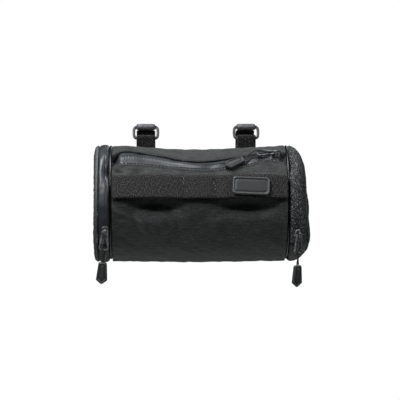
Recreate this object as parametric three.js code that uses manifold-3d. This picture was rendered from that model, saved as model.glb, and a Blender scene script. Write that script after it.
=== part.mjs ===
// A barrel-shaped handlebar bag that hangs in front of the bar on two hook-and-loop straps.
// Millimetres, +Z up. The origin lies on the handlebar's axis, midway between the straps.
// +X runs along the bar, and the bag's front faces -Y.
import * as THREE from 'three';
import { mergeVertices } from 'three/addons/utils/BufferGeometryUtils.js';
import Module from 'manifold-3d';

const wasm = await Module();
wasm.setup();

// The handlebar that the straps close round, and the least gap between two pieces
const barDiameter = 31.8;
const gap = 0.3;

// The barrel: its cloth, and where it hangs from the bar
const barrelRadius = 59.8;
const panelLength = 181;
const panelOffset = 1.5;
const clothThickness = 2;
const hangAngle = 44.7;
const barClearance = 0.7;
const topSag = 3.9;
const topSagSpread = 62;

// Straps, the rings they close through, and the webbing they thread behind
const strapWidth = 20;
const strapThickness = 1.8;
const strapSpacing = 106;
const backWebWidth = 13;
const backWebThickness = 1.5;
const backWebMargin = 10;
const ringWire = 2.9;
const ringHeight = 15.8;
const ringLean = 28;
const ringBow = 1;
const tailDrop = 12.4;
const tailLean = 7.5;

// Piping in the inner seams and binding over the outer seams
const pipingDiameter = 2.4;
const bindingWidth = 3.6;
const bindingThickness = 1.8;

// Zips: angles run from the top of the barrel towards the front
const tapeThickness = 1.6;
const sideZipStart = -35;
const sideZipEnd = 129;
const leftZipReach = 12.5;
const rightZipReach = 17.2;
const bandPuff = 1.2;
const topSliderPlace = 0.933;

// Webbing across the front, with the badge on it
const frontBandWidth = 25;
const frontBandThickness = 1.5;
const frontBandAngle = 69;
const frontBandBow = 3.2;
const badgeLength = 38;
const badgeHeight = 18.7;
const badgeThickness = 3;
const badgeRim = 1.7;
const badgeRecess = 0.8;
const badgeTilt = -2.5;
const badgePlace = 0.79;
const badgeRaise = -0.6;
const badgeCorner = 2.6;

// Zip sliders and their pulls
const sliderLength = 8.4;
const sliderWidth = 6.4;
const sliderHeight = 2.2;
const bridgeWidth = 2.2;
const bridgeWire = 1.1;
const sideSliderAngle = { left: 110.5, right: 115 };
const pullerLength = 20.5;
const pullerTopWidth = 6.2;
const pullerBottomWidth = 10.6;
const pullerThickness = 1.8;
const pullerWire = 1.7;
const cordDiameter = 1.5;
const cordReach = 12.5;
const tabLength = 22.8;
const tabWidth = 11.6;
const tabShoulder = 8.4;
const tabThickness = 4.4;
const tabRim = 1.5;
const tabRecess = 0.7;
const tabTaper = 0.8;
const topTabPlace = 0.697;
const topTabAngle = 42;
const topTabTurn = 29;
const topPullerTilt = 1.5;
const sideSliderAcross = { left: 0.35, right: 0.28 };
const sidePullLean = { left: -4.2, right: -2.8 };

// How each end closes: reach is how far it stands out from its inner seam, drop is the radius
// that its round edge takes up at the top and at the bottom, square is how boxy that edge is,
// and belly is how far the end bulges below its middle. All but square are shares of the radius.
const bellyDrop = 0.6;
const bellySpread = 0.4;
const endShapes = {
  left: { side: -1, reach: 0.285, dropTop: 0.17, dropBottom: 0.13, square: 5, belly: 0.01 },
  right: { side: 1, reach: 0.345, dropTop: 0.66, dropBottom: 0.38, square: 2.15, belly: 0.06 },
};

// The top zip's wandering line. Each row is a share of the panel's length and, in degrees from
// the top, where the zip tape starts, where its teeth run and where its lower seam lies.
const topZipLine = [
  { along: 0, start: 31, teeth: 35, seam: 50 },
  { along: 0.02, start: 27.5, teeth: 33.5, seam: 46.5 },
  { along: 0.07, start: 22, teeth: 31, seam: 43.6 },
  { along: 0.16, start: 22.6, teeth: 30.6, seam: 43 },
  { along: 0.27, start: 26.6, teeth: 32.8, seam: 44 },
  { along: 0.4, start: 33.6, teeth: 38, seam: 47 },
  { along: 0.5, start: 36, teeth: 41.4, seam: 48.6 },
  { along: 0.6, start: 34, teeth: 40, seam: 48 },
  { along: 0.77, start: 27, teeth: 33.6, seam: 43.4 },
  { along: 0.91, start: 21.4, teeth: 30, seam: 38 },
  { along: 0.965, start: 21.4, teeth: 30.5, seam: 41.5 },
  { along: 1, start: 24, teeth: 34, seam: 48 },
];

// Dents and folds of the cloth. Place and reach along the barrel are shares of the panel's
// length, angle and spread are degrees, and depth is a share of the radius, less than zero for
// a swelling.
const folds = [
  { along: 0.24, reach: 0.13, angle: 88, spread: 9, depth: 0.036 },
  { along: 0.76, reach: 0.17, angle: 87, spread: 9, depth: 0.038 },
  { along: 0.2, reach: 0.1, angle: 105, spread: 11, depth: -0.018 },
  { along: 0.36, reach: 0.035, angle: 100, spread: 10, depth: 0.022 },
  { along: 0.05, reach: 0.025, angle: 53, spread: 5, depth: 0.022 },
  { along: 0.16, reach: 0.03, angle: 53, spread: 5, depth: 0.022 },
  { along: 0.6, reach: 0.25, angle: 135, spread: 22, depth: -0.016 },
  { along: 0.5, reach: 0.3, angle: 205, spread: 30, depth: 0.02 },
];

// Bar tacks that hold the front webbing down, as shares of the panel's length
const tackPlaces = [0, 0.409, 0.583, 1];

const rad = THREE.MathUtils.degToRad;
const lerp = THREE.MathUtils.lerp;
const barRadius = barDiameter / 2;
const barrelDistance = barRadius + barClearance + backWebThickness + gap + strapThickness
  + gap + barrelRadius;
const barrelY = -Math.cos(rad(hangAngle)) * barrelDistance;
const barrelZ = -Math.sin(rad(hangAngle)) * barrelDistance;
const leftSeam = panelOffset - panelLength / 2;
const seamX = { left: leftSeam, right: leftSeam + panelLength };
const zipReach = { left: leftZipReach, right: rightZipReach };
const seamGap = pipingDiameter / 2 + gap;

const finishes = {
  cloth: { color: 0x2a2d2d, roughness: 0.82 },
  zipTape: { color: 0x3c4348, roughness: 0.45 },
  sideTape: { color: 0x32373a, roughness: 0.55 },
  webbing: { color: 0x2c2a29, roughness: 0.9 },
  strap: { color: 0x1b1c1c, roughness: 0.95 },
  trim: { color: 0x232626, roughness: 0.7 },
  ring: { color: 0x3e4041, roughness: 0.55 },
  metal: { color: 0x1d1e20, roughness: 0.35, metalness: 0.7 },
  cord: { color: 0x191a1a, roughness: 0.9 },
  rubber: { color: 0x343638, roughness: 0.6 },
};

const bag = new THREE.Group();

function addPiece(parent, name, geometry, finish) {
  const mesh = new THREE.Mesh(geometry, new THREE.MeshStandardMaterial(finishes[finish]));
  mesh.name = name;
  parent.add(mesh);
  return mesh;
}

// A closed body from points and triangles, with its faces turned outward
function closedBody(points, triangles) {
  let volume = 0;
  for (const [a, b, c] of triangles) {
    volume += points[a].dot(new THREE.Vector3().crossVectors(points[b], points[c]));
  }
  const index = triangles.flatMap(([a, b, c]) => (volume > 0 ? [a, b, c] : [a, c, b]));
  const geometry = new THREE.BufferGeometry();
  geometry.setFromPoints(points);
  geometry.setIndex(index);
  geometry.computeVertexNormals();
  return geometry;
}

// Cloth of two faces: place(u, v, face) gives a point, with face 0 inside and 1 outside.
// A sheet that wraps is closed along v, such as a band all the way round the barrel.
function clothSheet(uSteps, vSteps, place, wraps = false) {
  const points = [];
  const triangles = [];
  const columns = wraps ? vSteps : vSteps + 1;
  for (let face = 0; face < 2; face += 1) {
    for (let i = 0; i <= uSteps; i += 1) {
      for (let j = 0; j < columns; j += 1) {
        points.push(place(i / uSteps, j / vSteps, face));
      }
    }
  }
  const at = (face, i, j) => (face * (uSteps + 1) + i) * columns + (j % columns);
  const quad = (a, b, c, d) => triangles.push([a, b, c], [a, c, d]);
  for (let i = 0; i < uSteps; i += 1) {
    for (let j = 0; j < vSteps; j += 1) {
      quad(at(0, i, j), at(0, i, j + 1), at(0, i + 1, j + 1), at(0, i + 1, j));
      quad(at(1, i, j), at(1, i + 1, j), at(1, i + 1, j + 1), at(1, i, j + 1));
    }
  }
  for (let j = 0; j < vSteps; j += 1) {
    quad(at(0, 0, j), at(1, 0, j), at(1, 0, j + 1), at(0, 0, j + 1));
    quad(at(0, uSteps, j), at(0, uSteps, j + 1), at(1, uSteps, j + 1), at(1, uSteps, j));
  }
  for (let i = 0; i < uSteps && !wraps; i += 1) {
    quad(at(0, i, 0), at(0, i + 1, 0), at(1, i + 1, 0), at(1, i, 0));
    quad(at(0, i, vSteps), at(1, i, vSteps), at(1, i + 1, vSteps), at(0, i + 1, vSteps));
  }
  return closedBody(points, triangles);
}

// A body made of loops of points, each joined to the next, with both ends closed at a middle
function loopStack(loops) {
  const points = [];
  const triangles = [];
  const count = loops[0].length;
  loops.forEach((loop) => points.push(...loop));
  for (let k = 0; k + 1 < loops.length; k += 1) {
    for (let i = 0; i < count; i += 1) {
      const a = k * count + i;
      const b = k * count + ((i + 1) % count);
      triangles.push([a, b, b + count], [a, b + count, a + count]);
    }
  }
  for (const end of [0, loops.length - 1]) {
    const middle = new THREE.Vector3();
    loops[end].forEach((point) => middle.addScaledVector(point, 1 / count));
    points.push(middle);
    for (let i = 0; i < count; i += 1) {
      const a = end * count + i;
      const b = end * count + ((i + 1) % count);
      triangles.push(end === 0 ? [b, a, points.length - 1] : [a, b, points.length - 1]);
    }
  }
  return closedBody(points, triangles);
}

// A ring of round or flattened section: place(turn) gives its middle and its two half-widths
function closedRing(steps, sides, place) {
  const points = [];
  const triangles = [];
  for (let i = 0; i < steps; i += 1) {
    const { middle, first, second } = place(i / steps);
    for (let k = 0; k < sides; k += 1) {
      const angle = (2 * Math.PI * (k + 0.5)) / sides;
      points.push(middle.clone().addScaledVector(first, Math.cos(angle))
        .addScaledVector(second, Math.sin(angle)));
    }
  }
  for (let i = 0; i < steps; i += 1) {
    for (let k = 0; k < sides; k += 1) {
      const a = i * sides + k;
      const b = i * sides + ((k + 1) % sides);
      const c = ((i + 1) % steps) * sides + ((k + 1) % sides);
      const d = ((i + 1) % steps) * sides + k;
      triangles.push([a, b, c], [a, c, d]);
    }
  }
  return closedBody(points, triangles);
}

// A column of a table, read smoothly between its rows
function readAlong(table, column, along) {
  const rows = table.length;
  let i = 0;
  while (i < rows - 2 && table[i + 1].along < along) {
    i += 1;
  }
  const slope = (k) => {
    const before = table[Math.max(k - 1, 0)];
    const after = table[Math.min(k + 1, rows - 1)];
    return (after[column] - before[column]) / (after.along - before.along);
  };
  const span = table[i + 1].along - table[i].along;
  const t = THREE.MathUtils.clamp((along - table[i].along) / span, 0, 1);
  const t2 = t * t;
  const t3 = t2 * t;
  return (2 * t3 - 3 * t2 + 1) * table[i][column] + (t3 - 2 * t2 + t) * span * slope(i)
    + (3 * t2 - 2 * t3) * table[i + 1][column] + (t3 - t2) * span * slope(i + 1);
}

// The barrel's surface. Angles run from the top towards the front, in degrees.
function outward(angle) {
  return new THREE.Vector3(0, -Math.sin(rad(angle)), Math.cos(rad(angle)));
}

function atRadius(x, angle, radius) {
  return new THREE.Vector3(x, barrelY, barrelZ).addScaledVector(outward(angle), radius);
}

function hump(distance, reach) {
  return Math.exp(-((distance / reach) ** 2));
}

function turnBetween(a, b) {
  return THREE.MathUtils.euclideanModulo(a - b + 180, 360) - 180;
}

function panelRadius(along, angle) {
  const sagShape = Math.sin(Math.PI * along) ** 1.4;
  const taper = Math.min(1, 12 * along, 12 * (1 - along));
  let radius = barrelRadius - topSag * sagShape * hump(turnBetween(angle, 8), topSagSpread);
  for (const fold of folds) {
    radius -= taper * barrelRadius * fold.depth * hump(along - fold.along, fold.reach)
      * hump(turnBetween(angle, fold.angle), fold.spread);
  }
  return radius;
}

function panelPoint(along, angle, height) {
  return atRadius(leftSeam + panelLength * along, angle, panelRadius(along, angle) + height);
}

// One end of the bag, from its inner seam round the edge to the middle of the end
function endProfile(end, angle) {
  const shape = endShapes[end];
  const low = (1 - Math.cos(rad(angle))) / 2;
  const reach = shape.reach * barrelRadius;
  const drop = lerp(shape.dropTop, shape.dropBottom, low) * barrelRadius;
  const power = 2 / shape.square;
  const edgeSteps = 60;
  const points = [];
  for (let i = 0; i <= edgeSteps; i += 1) {
    const turn = (Math.PI / 2) * (i / edgeSteps);
    const out = reach * Math.sin(turn) ** power;
    const cosine = i === edgeSteps ? 0 : Math.cos(turn);
    points.push({ out, radius: barrelRadius - drop + drop * cosine ** power });
  }
  points.push({ out: reach, radius: 0 });
  let length = 0;
  points.forEach((point, i) => {
    if (i > 0) {
      length += Math.hypot(point.out - points[i - 1].out, point.radius - points[i - 1].radius);
    }
    point.length = length;
  });
  return points;
}

function lengthAtReach(end, angle, out) {
  const points = endProfile(end, angle);
  const i = points.findIndex((point) => point.out >= out);
  const share = (out - points[i - 1].out) / (points[i].out - points[i - 1].out);
  return lerp(points[i - 1].length, points[i].length, share);
}

function endPoint(end, angle, length, height, puff = 0) {
  const points = endProfile(end, angle);
  const shape = endShapes[end];
  let i = points.findIndex((point) => point.length >= length);
  i = Math.max(1, i < 0 ? points.length - 1 : i);
  const [a, b] = [points[i - 1], points[i]];
  const share = (length - a.length) / (b.length - a.length);
  const run = new THREE.Vector2(b.out - a.out, b.radius - a.radius).normalize();
  const out = lerp(a.out, b.out, share) - run.y * (height + puff);
  const radius = lerp(a.radius, b.radius, share) + run.x * (height + puff);
  const point = atRadius(0, angle, radius);
  const lowered = (point.z - barrelZ) / barrelRadius;
  const belly = shape.belly * barrelRadius * hump(lowered + bellyDrop, bellySpread)
    * THREE.MathUtils.smoothstep(out, 0, shape.reach * barrelRadius);
  point.x = seamX[end] + shape.side * (out + belly);
  return point;
}

// Main cloth: one piece that runs from the top zip's seam down the front and up the back
const bodyAroundCount = 42;
const bodyAlongCount = 16;
addPiece(bag, 'body_shell', clothSheet(bodyAroundCount, bodyAlongCount, (u, v, face) => {
  const margin = seamGap / panelLength;
  const along = lerp(margin, 1 - margin, v);
  const seam = readAlong(topZipLine, 'seam', along);
  const start = readAlong(topZipLine, 'start', along);
  const angle = lerp(seam, 360 + start, u);
  return panelPoint(along, angle, (face - 1) * clothThickness);
}), 'cloth');

// The top zip's coated tape, let into the slot that the main cloth leaves
addPiece(bag, 'top_zip_tape', clothSheet(3, bodyAlongCount, (u, v, face) => {
  const margin = seamGap / panelLength;
  const along = lerp(margin, 1 - margin, v);
  const clear = THREE.MathUtils.radToDeg(gap / (barrelRadius - clothThickness - topSag));
  const seam = readAlong(topZipLine, 'seam', along) - clear;
  const start = readAlong(topZipLine, 'start', along) + clear;
  const angle = lerp(start, seam, u);
  return panelPoint(along, angle, (face - 1) * tapeThickness);
}), 'zipTape');

// Each end: the side zip over the top and down the front, the gusset round the rest,
// piping and binding along their seams, and the end panel
const sideAroundCount = 18;
const sideAcrossCount = 3;
const ringCount = 36;
const ringSideCount = 5;
const sideGap = THREE.MathUtils.radToDeg(gap / (barrelRadius - clothThickness));
for (const end of ['left', 'right']) {
  const shape = endShapes[end];
  const bandPoint = (angle, across, height) => {
    const last = lengthAtReach(end, angle, zipReach[end]);
    const length = lerp(seamGap, last - gap, across);
    return endPoint(end, angle, length, height, bandPuff * Math.sin(Math.PI * across));
  };
  addPiece(bag, `${end}_side_zip`, clothSheet(sideAroundCount, sideAcrossCount, (u, v, face) => {
    const angle = lerp(sideZipStart, sideZipEnd, u);
    return bandPoint(angle, v, (face - 1) * tapeThickness);
  }), 'sideTape');
  addPiece(bag, `${end}_gusset`, clothSheet(sideAroundCount, sideAcrossCount, (u, v, face) => {
    const angle = lerp(sideZipEnd + sideGap, 360 + sideZipStart - sideGap, u);
    return bandPoint(angle, v, (face - 1) * clothThickness);
  }), 'cloth');

  addPiece(bag, `${end}_piping`, closedRing(ringCount, ringSideCount, (turn) => ({
    middle: atRadius(seamX[end], 360 * turn, barrelRadius),
    first: new THREE.Vector3(pipingDiameter / 2, 0, 0),
    second: outward(360 * turn).multiplyScalar(pipingDiameter / 2),
  })), 'trim');

  const bindingMiddle = bindingWidth / 2 + gap;
  addPiece(bag, `${end}_binding`, closedRing(ringCount, ringSideCount, (turn) => {
    const angle = 360 * turn;
    const last = lengthAtReach(end, angle, zipReach[end]);
    const middle = endPoint(end, angle, last + bindingMiddle, -bindingThickness / 4);
    const beside = endPoint(end, angle, last + bindingMiddle + bindingWidth / 2,
      -bindingThickness / 4);
    const above = endPoint(end, angle, last + bindingMiddle, bindingThickness / 4);
    return {
      middle,
      first: beside.sub(middle).setLength(bindingWidth / 2),
      second: above.sub(middle).setLength(bindingThickness / 2),
    };
  }), 'trim');

  const panelRowCount = 6;
  const panelLoops = [];
  for (const face of [0, 1]) {
    for (let row = 0; row < panelRowCount; row += 1) {
      const fromEdge = (face === 0 ? panelRowCount - 1 - row : row) / (panelRowCount - 1);
      const loop = [];
      for (let k = 0; k < ringCount; k += 1) {
        const angle = (360 * k) / ringCount;
        const edge = lengthAtReach(end, angle, zipReach[end]) + bindingWidth + 2 * gap;
        const middle = endProfile(end, angle).at(-1).length;
        const length = lerp(edge, middle, 0.92 * fromEdge ** 1.5);
        loop.push(endPoint(end, angle, length, (face - 1) * clothThickness));
      }
      panelLoops.push(loop);
    }
  }
  addPiece(bag, `${end}_end_panel`, loopStack(panelLoops), 'cloth');
}

// Webbing across the front, sewn down at its tacks and bowed out between them
function bandHeight(along) {
  let height = 0;
  for (let i = 0; i + 1 < tackPlaces.length; i += 1) {
    const span = tackPlaces[i + 1] - tackPlaces[i];
    const share = (along - tackPlaces[i]) / span;
    if (share >= 0 && share <= 1) {
      const bow = frontBandBow * Math.min(1, 2.6 * span);
      height = bow * (1 - Math.abs(2 * share - 1) ** 2.6);
    }
  }
  return gap + height;
}

function bandPoint(along, up, height) {
  const downTangent = outward(frontBandAngle + 90);
  const x = lerp(leftSeam + seamGap, leftSeam + panelLength - seamGap, along);
  return atRadius(x, frontBandAngle, barrelRadius + bandHeight(along) + height)
    .addScaledVector(downTangent, -up);
}

addPiece(bag, 'front_band', clothSheet(40, 1, (u, v, face) => (
  bandPoint(u, (v - 0.5) * frontBandWidth, face * frontBandThickness)
)), 'webbing');

// The outline of a flat moulded piece: corner points, each rounded by a radius
function roundedOutline(corners, steps) {
  const shape = new THREE.Shape();
  const count = corners.length;
  const points = [];
  corners.forEach(([x, y, radius], i) => {
    const here = new THREE.Vector2(x, y);
    const before = new THREE.Vector2(...corners[(i + count - 1) % count]).sub(here).normalize();
    const after = new THREE.Vector2(...corners[(i + 1) % count]).sub(here).normalize();
    const half = Math.acos(THREE.MathUtils.clamp(before.dot(after), -1, 1)) / 2;
    const reach = radius / Math.tan(half);
    const from = here.clone().addScaledVector(before, reach);
    const to = here.clone().addScaledVector(after, reach);
    const bend = new THREE.QuadraticBezierCurve(from, here, to);
    points.push(...bend.getPoints(steps));
  });
  shape.setFromPoints(points);
  return shape.getPoints();
}

// A moulded plate from an outline: each layer is the outline drawn in by an inset at a height
function mouldedPlate(outline, layers) {
  const box = new THREE.Box2().setFromPoints(outline);
  const middle = box.getCenter(new THREE.Vector2());
  const half = box.getSize(new THREE.Vector2()).multiplyScalar(0.5);
  const loops = layers.map(({ inset, height }) => outline.map((point) => new THREE.Vector3(
    middle.x + (point.x - middle.x) * (1 - inset / half.x),
    middle.y + (point.y - middle.y) * (1 - inset / half.y),
    height,
  )));
  return loopStack(loops);
}

// The badge: a bare moulded plate with a raised rim, sewn on the webbing
const badgeAlong = badgePlace;
const badgeHolder = new THREE.Group();
badgeHolder.position.copy(bandPoint(badgeAlong, badgeRaise, frontBandThickness + gap));
badgeHolder.rotation.x = rad(frontBandAngle);
bag.add(badgeHolder);
const badgeOutline = roundedOutline([
  [-badgeLength / 2, -badgeHeight / 2, badgeCorner],
  [badgeLength / 2, -badgeHeight / 2, badgeCorner],
  [badgeLength / 2, badgeHeight / 2, badgeCorner],
  [-badgeLength / 2, badgeHeight / 2, badgeCorner],
], 4);
const badge = addPiece(badgeHolder, 'badge', mouldedPlate(badgeOutline, [
  { inset: 0, height: 0 },
  { inset: 0, height: badgeThickness - 0.5 },
  { inset: 0.5, height: badgeThickness },
  { inset: badgeRim, height: badgeThickness },
  { inset: badgeRim + 0.5, height: badgeThickness - badgeRecess },
]), 'rubber');
badge.rotation.z = rad(badgeTilt);

// A strip of even thickness along a line, drawn as a closed outline
function stripOutline(line, thickness) {
  const count = line.length;
  const side = (sign) => line.map((point, i) => {
    const into = point.clone().sub(line[Math.max(i - 1, 0)]);
    const out = line[Math.min(i + 1, count - 1)].clone().sub(point);
    const first = (into.lengthSq() > 0 ? into : out).clone().normalize();
    const second = (out.lengthSq() > 0 ? out : into).clone().normalize();
    const mitre = first.clone().add(second).normalize();
    const stretch = 1 / Math.max(0.5, mitre.dot(first));
    const normal = new THREE.Vector2(-mitre.y, mitre.x);
    return point.clone().addScaledVector(normal, (sign * stretch * thickness) / 2);
  });
  return [...side(1), ...side(-1).reverse()];
}

// Points on an arc round a middle, from one angle to another, in degrees
function arcPoints(middle, radius, from, to, step) {
  const steps = Math.max(1, Math.round(Math.abs(to - from) / step));
  return Array.from({ length: steps + 1 }, (_, i) => {
    const angle = rad(lerp(from, to, i / steps));
    return new THREE.Vector2(middle.x + radius * Math.cos(angle), middle.y + radius * Math.sin(angle));
  });
}

// The strap in side view. Plane x is depth (+Y) and plane y is height (+Z). It is sewn round
// the ring's upper wire, goes over the bar and under it, threads between the back webbing and
// the bag, comes up behind the ring's lower wire and folds over it, so its tail hangs in front.
const strapOnBar = barRadius + gap + strapThickness / 2;
const bar = new THREE.Vector2(0, 0);
const wireLoop = ringWire / 2 + gap + strapThickness / 2;
const lowerWireAngle = 180 - ringLean;
const ringPlane = strapOnBar + wireLoop;
const ringFoot = new THREE.Vector2(Math.cos(rad(lowerWireAngle)), Math.sin(rad(lowerWireAngle)))
  .multiplyScalar(ringPlane);
const ringUp = new THREE.Vector2(Math.sin(rad(ringLean)), Math.cos(rad(ringLean)));
const wireSpacing = ringHeight - ringWire;
const ringHead = ringFoot.clone().addScaledVector(ringUp, wireSpacing);

function strapLine() {
  const headAngle = THREE.MathUtils.radToDeg(ringHead.angle());
  const lean = Math.acos((strapOnBar - wireLoop) / ringHead.length());
  const leave = headAngle - THREE.MathUtils.radToDeg(lean);
  const towardsBarrel = -180 + hangAngle;
  const onBarrel = barrelRadius + gap + strapThickness / 2;
  const slot = THREE.MathUtils.radToDeg((backWebWidth / 2 + strapThickness) / onBarrel);
  const barrel = new THREE.Vector2(barrelY, barrelZ);
  const slotPoints = arcPoints(barrel, onBarrel, hangAngle - slot, hangAngle + slot, 5);
  const mouth = slotPoints[0];
  const reachAngle = Math.acos(strapOnBar / mouth.length());
  const mouthTurn = Math.abs(THREE.MathUtils.radToDeg(mouth.angle()) - 360 - towardsBarrel);
  const touch = THREE.MathUtils.radToDeg(reachAngle) + mouthTurn;
  const tailTop = ringFoot.clone().add(new THREE.Vector2(-wireLoop, 0));
  const tail = [0.35, 1].map((share) => tailTop.clone().add(
    new THREE.Vector2(-Math.sin(rad(tailLean)), -Math.cos(rad(tailLean))).multiplyScalar(tailDrop * share),
  ));
  return [
    ...arcPoints(ringHead, wireLoop, leave + 285, leave, 30),
    ...arcPoints(bar, strapOnBar, leave, towardsBarrel + touch, 12),
    ...slotPoints,
    ...arcPoints(bar, strapOnBar, towardsBarrel - touch, lowerWireAngle - 360, 12),
    ...arcPoints(ringFoot, wireLoop, lowerWireAngle - 180, 180, 30).slice(1),
    ...tail,
  ];
}

// A flat outline in side view, pushed out along X to a width about its middle
function sideExtrusion(outline, width) {
  const shape = new THREE.Shape(outline);
  const geometry = new THREE.ExtrudeGeometry(shape, { depth: width, bevelEnabled: false });
  geometry.translate(0, 0, -width / 2);
  geometry.applyMatrix4(new THREE.Matrix4().makeBasis(
    new THREE.Vector3(0, 1, 0), new THREE.Vector3(0, 0, 1), new THREE.Vector3(1, 0, 0)));
  return geometry;
}

// The ring: a moulded loop with bowed arms, wide enough for the strap
function ringGeometry() {
  const chamfer = ringWire / 4;
  const halfWidth = strapWidth / 2 + gap + ringWire - chamfer;
  const halfHeight = ringHeight / 2 - chamfer;
  const corner = ringWire;
  const frame = new THREE.Shape();
  frame.moveTo(-halfWidth + corner, -halfHeight);
  frame.lineTo(halfWidth - corner, -halfHeight);
  frame.quadraticCurveTo(halfWidth, -halfHeight, halfWidth, -halfHeight + corner);
  frame.quadraticCurveTo(halfWidth + ringBow, 0, halfWidth, halfHeight - corner);
  frame.quadraticCurveTo(halfWidth, halfHeight, halfWidth - corner, halfHeight);
  frame.lineTo(-halfWidth + corner, halfHeight);
  frame.quadraticCurveTo(-halfWidth, halfHeight, -halfWidth, halfHeight - corner);
  frame.quadraticCurveTo(-halfWidth - ringBow, 0, -halfWidth, -halfHeight + corner);
  frame.quadraticCurveTo(-halfWidth, -halfHeight, -halfWidth + corner, -halfHeight);
  const innerWidth = halfWidth - ringWire + 2 * chamfer;
  const innerHeight = halfHeight - ringWire + 2 * chamfer;
  const opening = new THREE.Path();
  opening.moveTo(-innerWidth, -innerHeight);
  opening.lineTo(-innerWidth, innerHeight);
  opening.lineTo(innerWidth, innerHeight);
  opening.lineTo(innerWidth, -innerHeight);
  opening.closePath();
  frame.holes.push(opening);
  const geometry = new THREE.ExtrudeGeometry(frame, {
    depth: ringWire - 2 * chamfer,
    bevelThickness: chamfer,
    bevelSize: chamfer,
    bevelSegments: 1,
    curveSegments: 3,
  });
  return geometry.translate(0, 0, -(ringWire - 2 * chamfer) / 2);
}

for (const [end, sign] of [['left', -1], ['right', 1]]) {
  const place = new THREE.Group();
  place.position.x = (sign * strapSpacing) / 2;
  bag.add(place);
  addPiece(place, `${end}_strap`,
    sideExtrusion(stripOutline(strapLine(), strapThickness), strapWidth), 'strap');
  const ring = addPiece(place, `${end}_ring`, ringGeometry(), 'ring');
  const ringMiddle = ringFoot.clone().lerp(ringHead, 0.5);
  ring.position.set(0, ringMiddle.x, ringMiddle.y);
  ring.rotation.x = rad(90 - ringLean);
}

// Back webbing: sewn along the bag's back, and lifted where each strap threads behind it
addPiece(bag, 'back_webbing', clothSheet(34, 2, (u, v, face) => {
  const x = lerp(seamX.left + backWebMargin, seamX.right - backWebMargin, u);
  const fromStrap = Math.abs(Math.abs(x) - strapSpacing / 2) - strapWidth / 2;
  const lift = 1 - THREE.MathUtils.smoothstep(fromStrap, 1, 8);
  const height = gap * (2 - lift) + lift * (strapThickness + gap) + face * backWebThickness;
  const angle = hangAngle - 90 + THREE.MathUtils.radToDeg(((v - 0.5) * backWebWidth) / barrelRadius);
  const along = (x - leftSeam) / panelLength;
  const surface = lerp(panelRadius(along, angle), barrelRadius, lift);
  return atRadius(x, angle, surface + height);
}), 'webbing');

// Two closed bodies joined into one
function joined(first, second) {
  const solids = [first, second].map((geometry) => {
    const bare = new THREE.BufferGeometry();
    bare.setAttribute('position', geometry.getAttribute('position'));
    if (geometry.index) {
      bare.setIndex(geometry.index);
    }
    const merged = mergeVertices(bare);
    return new wasm.Manifold(new wasm.Mesh({
      numProp: 3,
      vertProperties: new Float32Array(merged.attributes.position.array),
      triVerts: new Uint32Array(merged.index.array),
    }));
  });
  const mesh = solids[0].add(solids[1]).getMesh();
  const geometry = new THREE.BufferGeometry();
  geometry.setAttribute('position', new THREE.BufferAttribute(mesh.vertProperties, 3));
  geometry.setIndex(new THREE.BufferAttribute(mesh.triVerts, 1));
  geometry.computeVertexNormals();
  return geometry;
}

// A zip slider: plane Y runs along the zip, Z stands off it, and the middle of the bridge's
// hole, where the puller hangs, is the origin
const bridgeHole = Math.hypot(pullerWire, pullerThickness) + gap;
const holeHeight = sliderHeight + bridgeHole / 2;

function sliderGeometry() {
  const outline = roundedOutline([
    [-sliderWidth / 2, -sliderLength / 2, 1.2],
    [sliderWidth / 2, -sliderLength / 2, 1.2],
    [sliderWidth / 2, sliderLength / 2, 2.2],
    [-sliderWidth / 2, sliderLength / 2, 2.2],
  ], 2);
  const body = mouldedPlate(outline, [
    { inset: 0, height: 0 },
    { inset: 0, height: sliderHeight - 0.5 },
    { inset: 0.5, height: sliderHeight },
  ]);
  const root = sliderHeight / 2;
  const inside = bridgeHole / 2;
  const outside = inside + bridgeWire;
  const arch = (half, top, turn) => [
    [-half, root],
    [-half, top - turn],
    [-half + turn, top],
    [half - turn, top],
    [half, top - turn],
    [half, root],
  ].map(([y, z]) => new THREE.Vector2(y, z));
  const outer = arch(outside, holeHeight + outside, bridgeWire);
  const inner = arch(inside, holeHeight + inside, bridgeWire / 2).reverse();
  const bridge = sideExtrusion([...outer, ...inner], bridgeWidth);
  return joined(body, bridge).translate(0, 0, -holeHeight);
}

// A bell-shaped metal puller, hung from the middle of its top wire
const pullerDrop = pullerLength - pullerWire;

function pullerGeometry() {
  const outline = (inset) => {
    const top = pullerWire / 2 - inset;
    const foot = top - pullerLength + 2 * inset;
    const topHalf = pullerTopWidth / 2 - inset;
    const footHalf = pullerBottomWidth / 2 - inset;
    return roundedOutline([
      [-footHalf, foot, 2.6 - inset],
      [footHalf, foot, 2.6 - inset],
      [topHalf, top, 1.2 - inset / 2],
      [-topHalf, top, 1.2 - inset / 2],
    ], 3);
  };
  const frame = new THREE.Shape(outline(0));
  frame.holes.push(new THREE.Path(outline(pullerWire)));
  const geometry = new THREE.ExtrudeGeometry(frame, { depth: pullerThickness, bevelEnabled: false });
  return geometry.translate(0, 0, -pullerThickness / 2);
}

// The moulded tab at the end of a pull, hung from its top edge, with a sunk face on both sides
function tabGeometry() {
  const widest = -tabLength * tabTaper;
  const outline = roundedOutline([
    [0, -tabLength, 1.6],
    [tabWidth / 2, widest, 1.5],
    [tabShoulder / 2, 0, 1.6],
    [-tabShoulder / 2, 0, 1.6],
    [-tabWidth / 2, widest, 1.5],
  ], 2);
  const half = tabThickness / 2;
  const edge = 0.6;
  const front = [
    { inset: 0, height: half - edge },
    { inset: edge, height: half },
    { inset: tabRim, height: half },
    { inset: tabRim + edge, height: half - tabRecess },
  ];
  const back = front.map(({ inset, height }) => ({ inset, height: -height })).reverse();
  return mouldedPlate(outline, [...back, ...front]);
}

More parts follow.
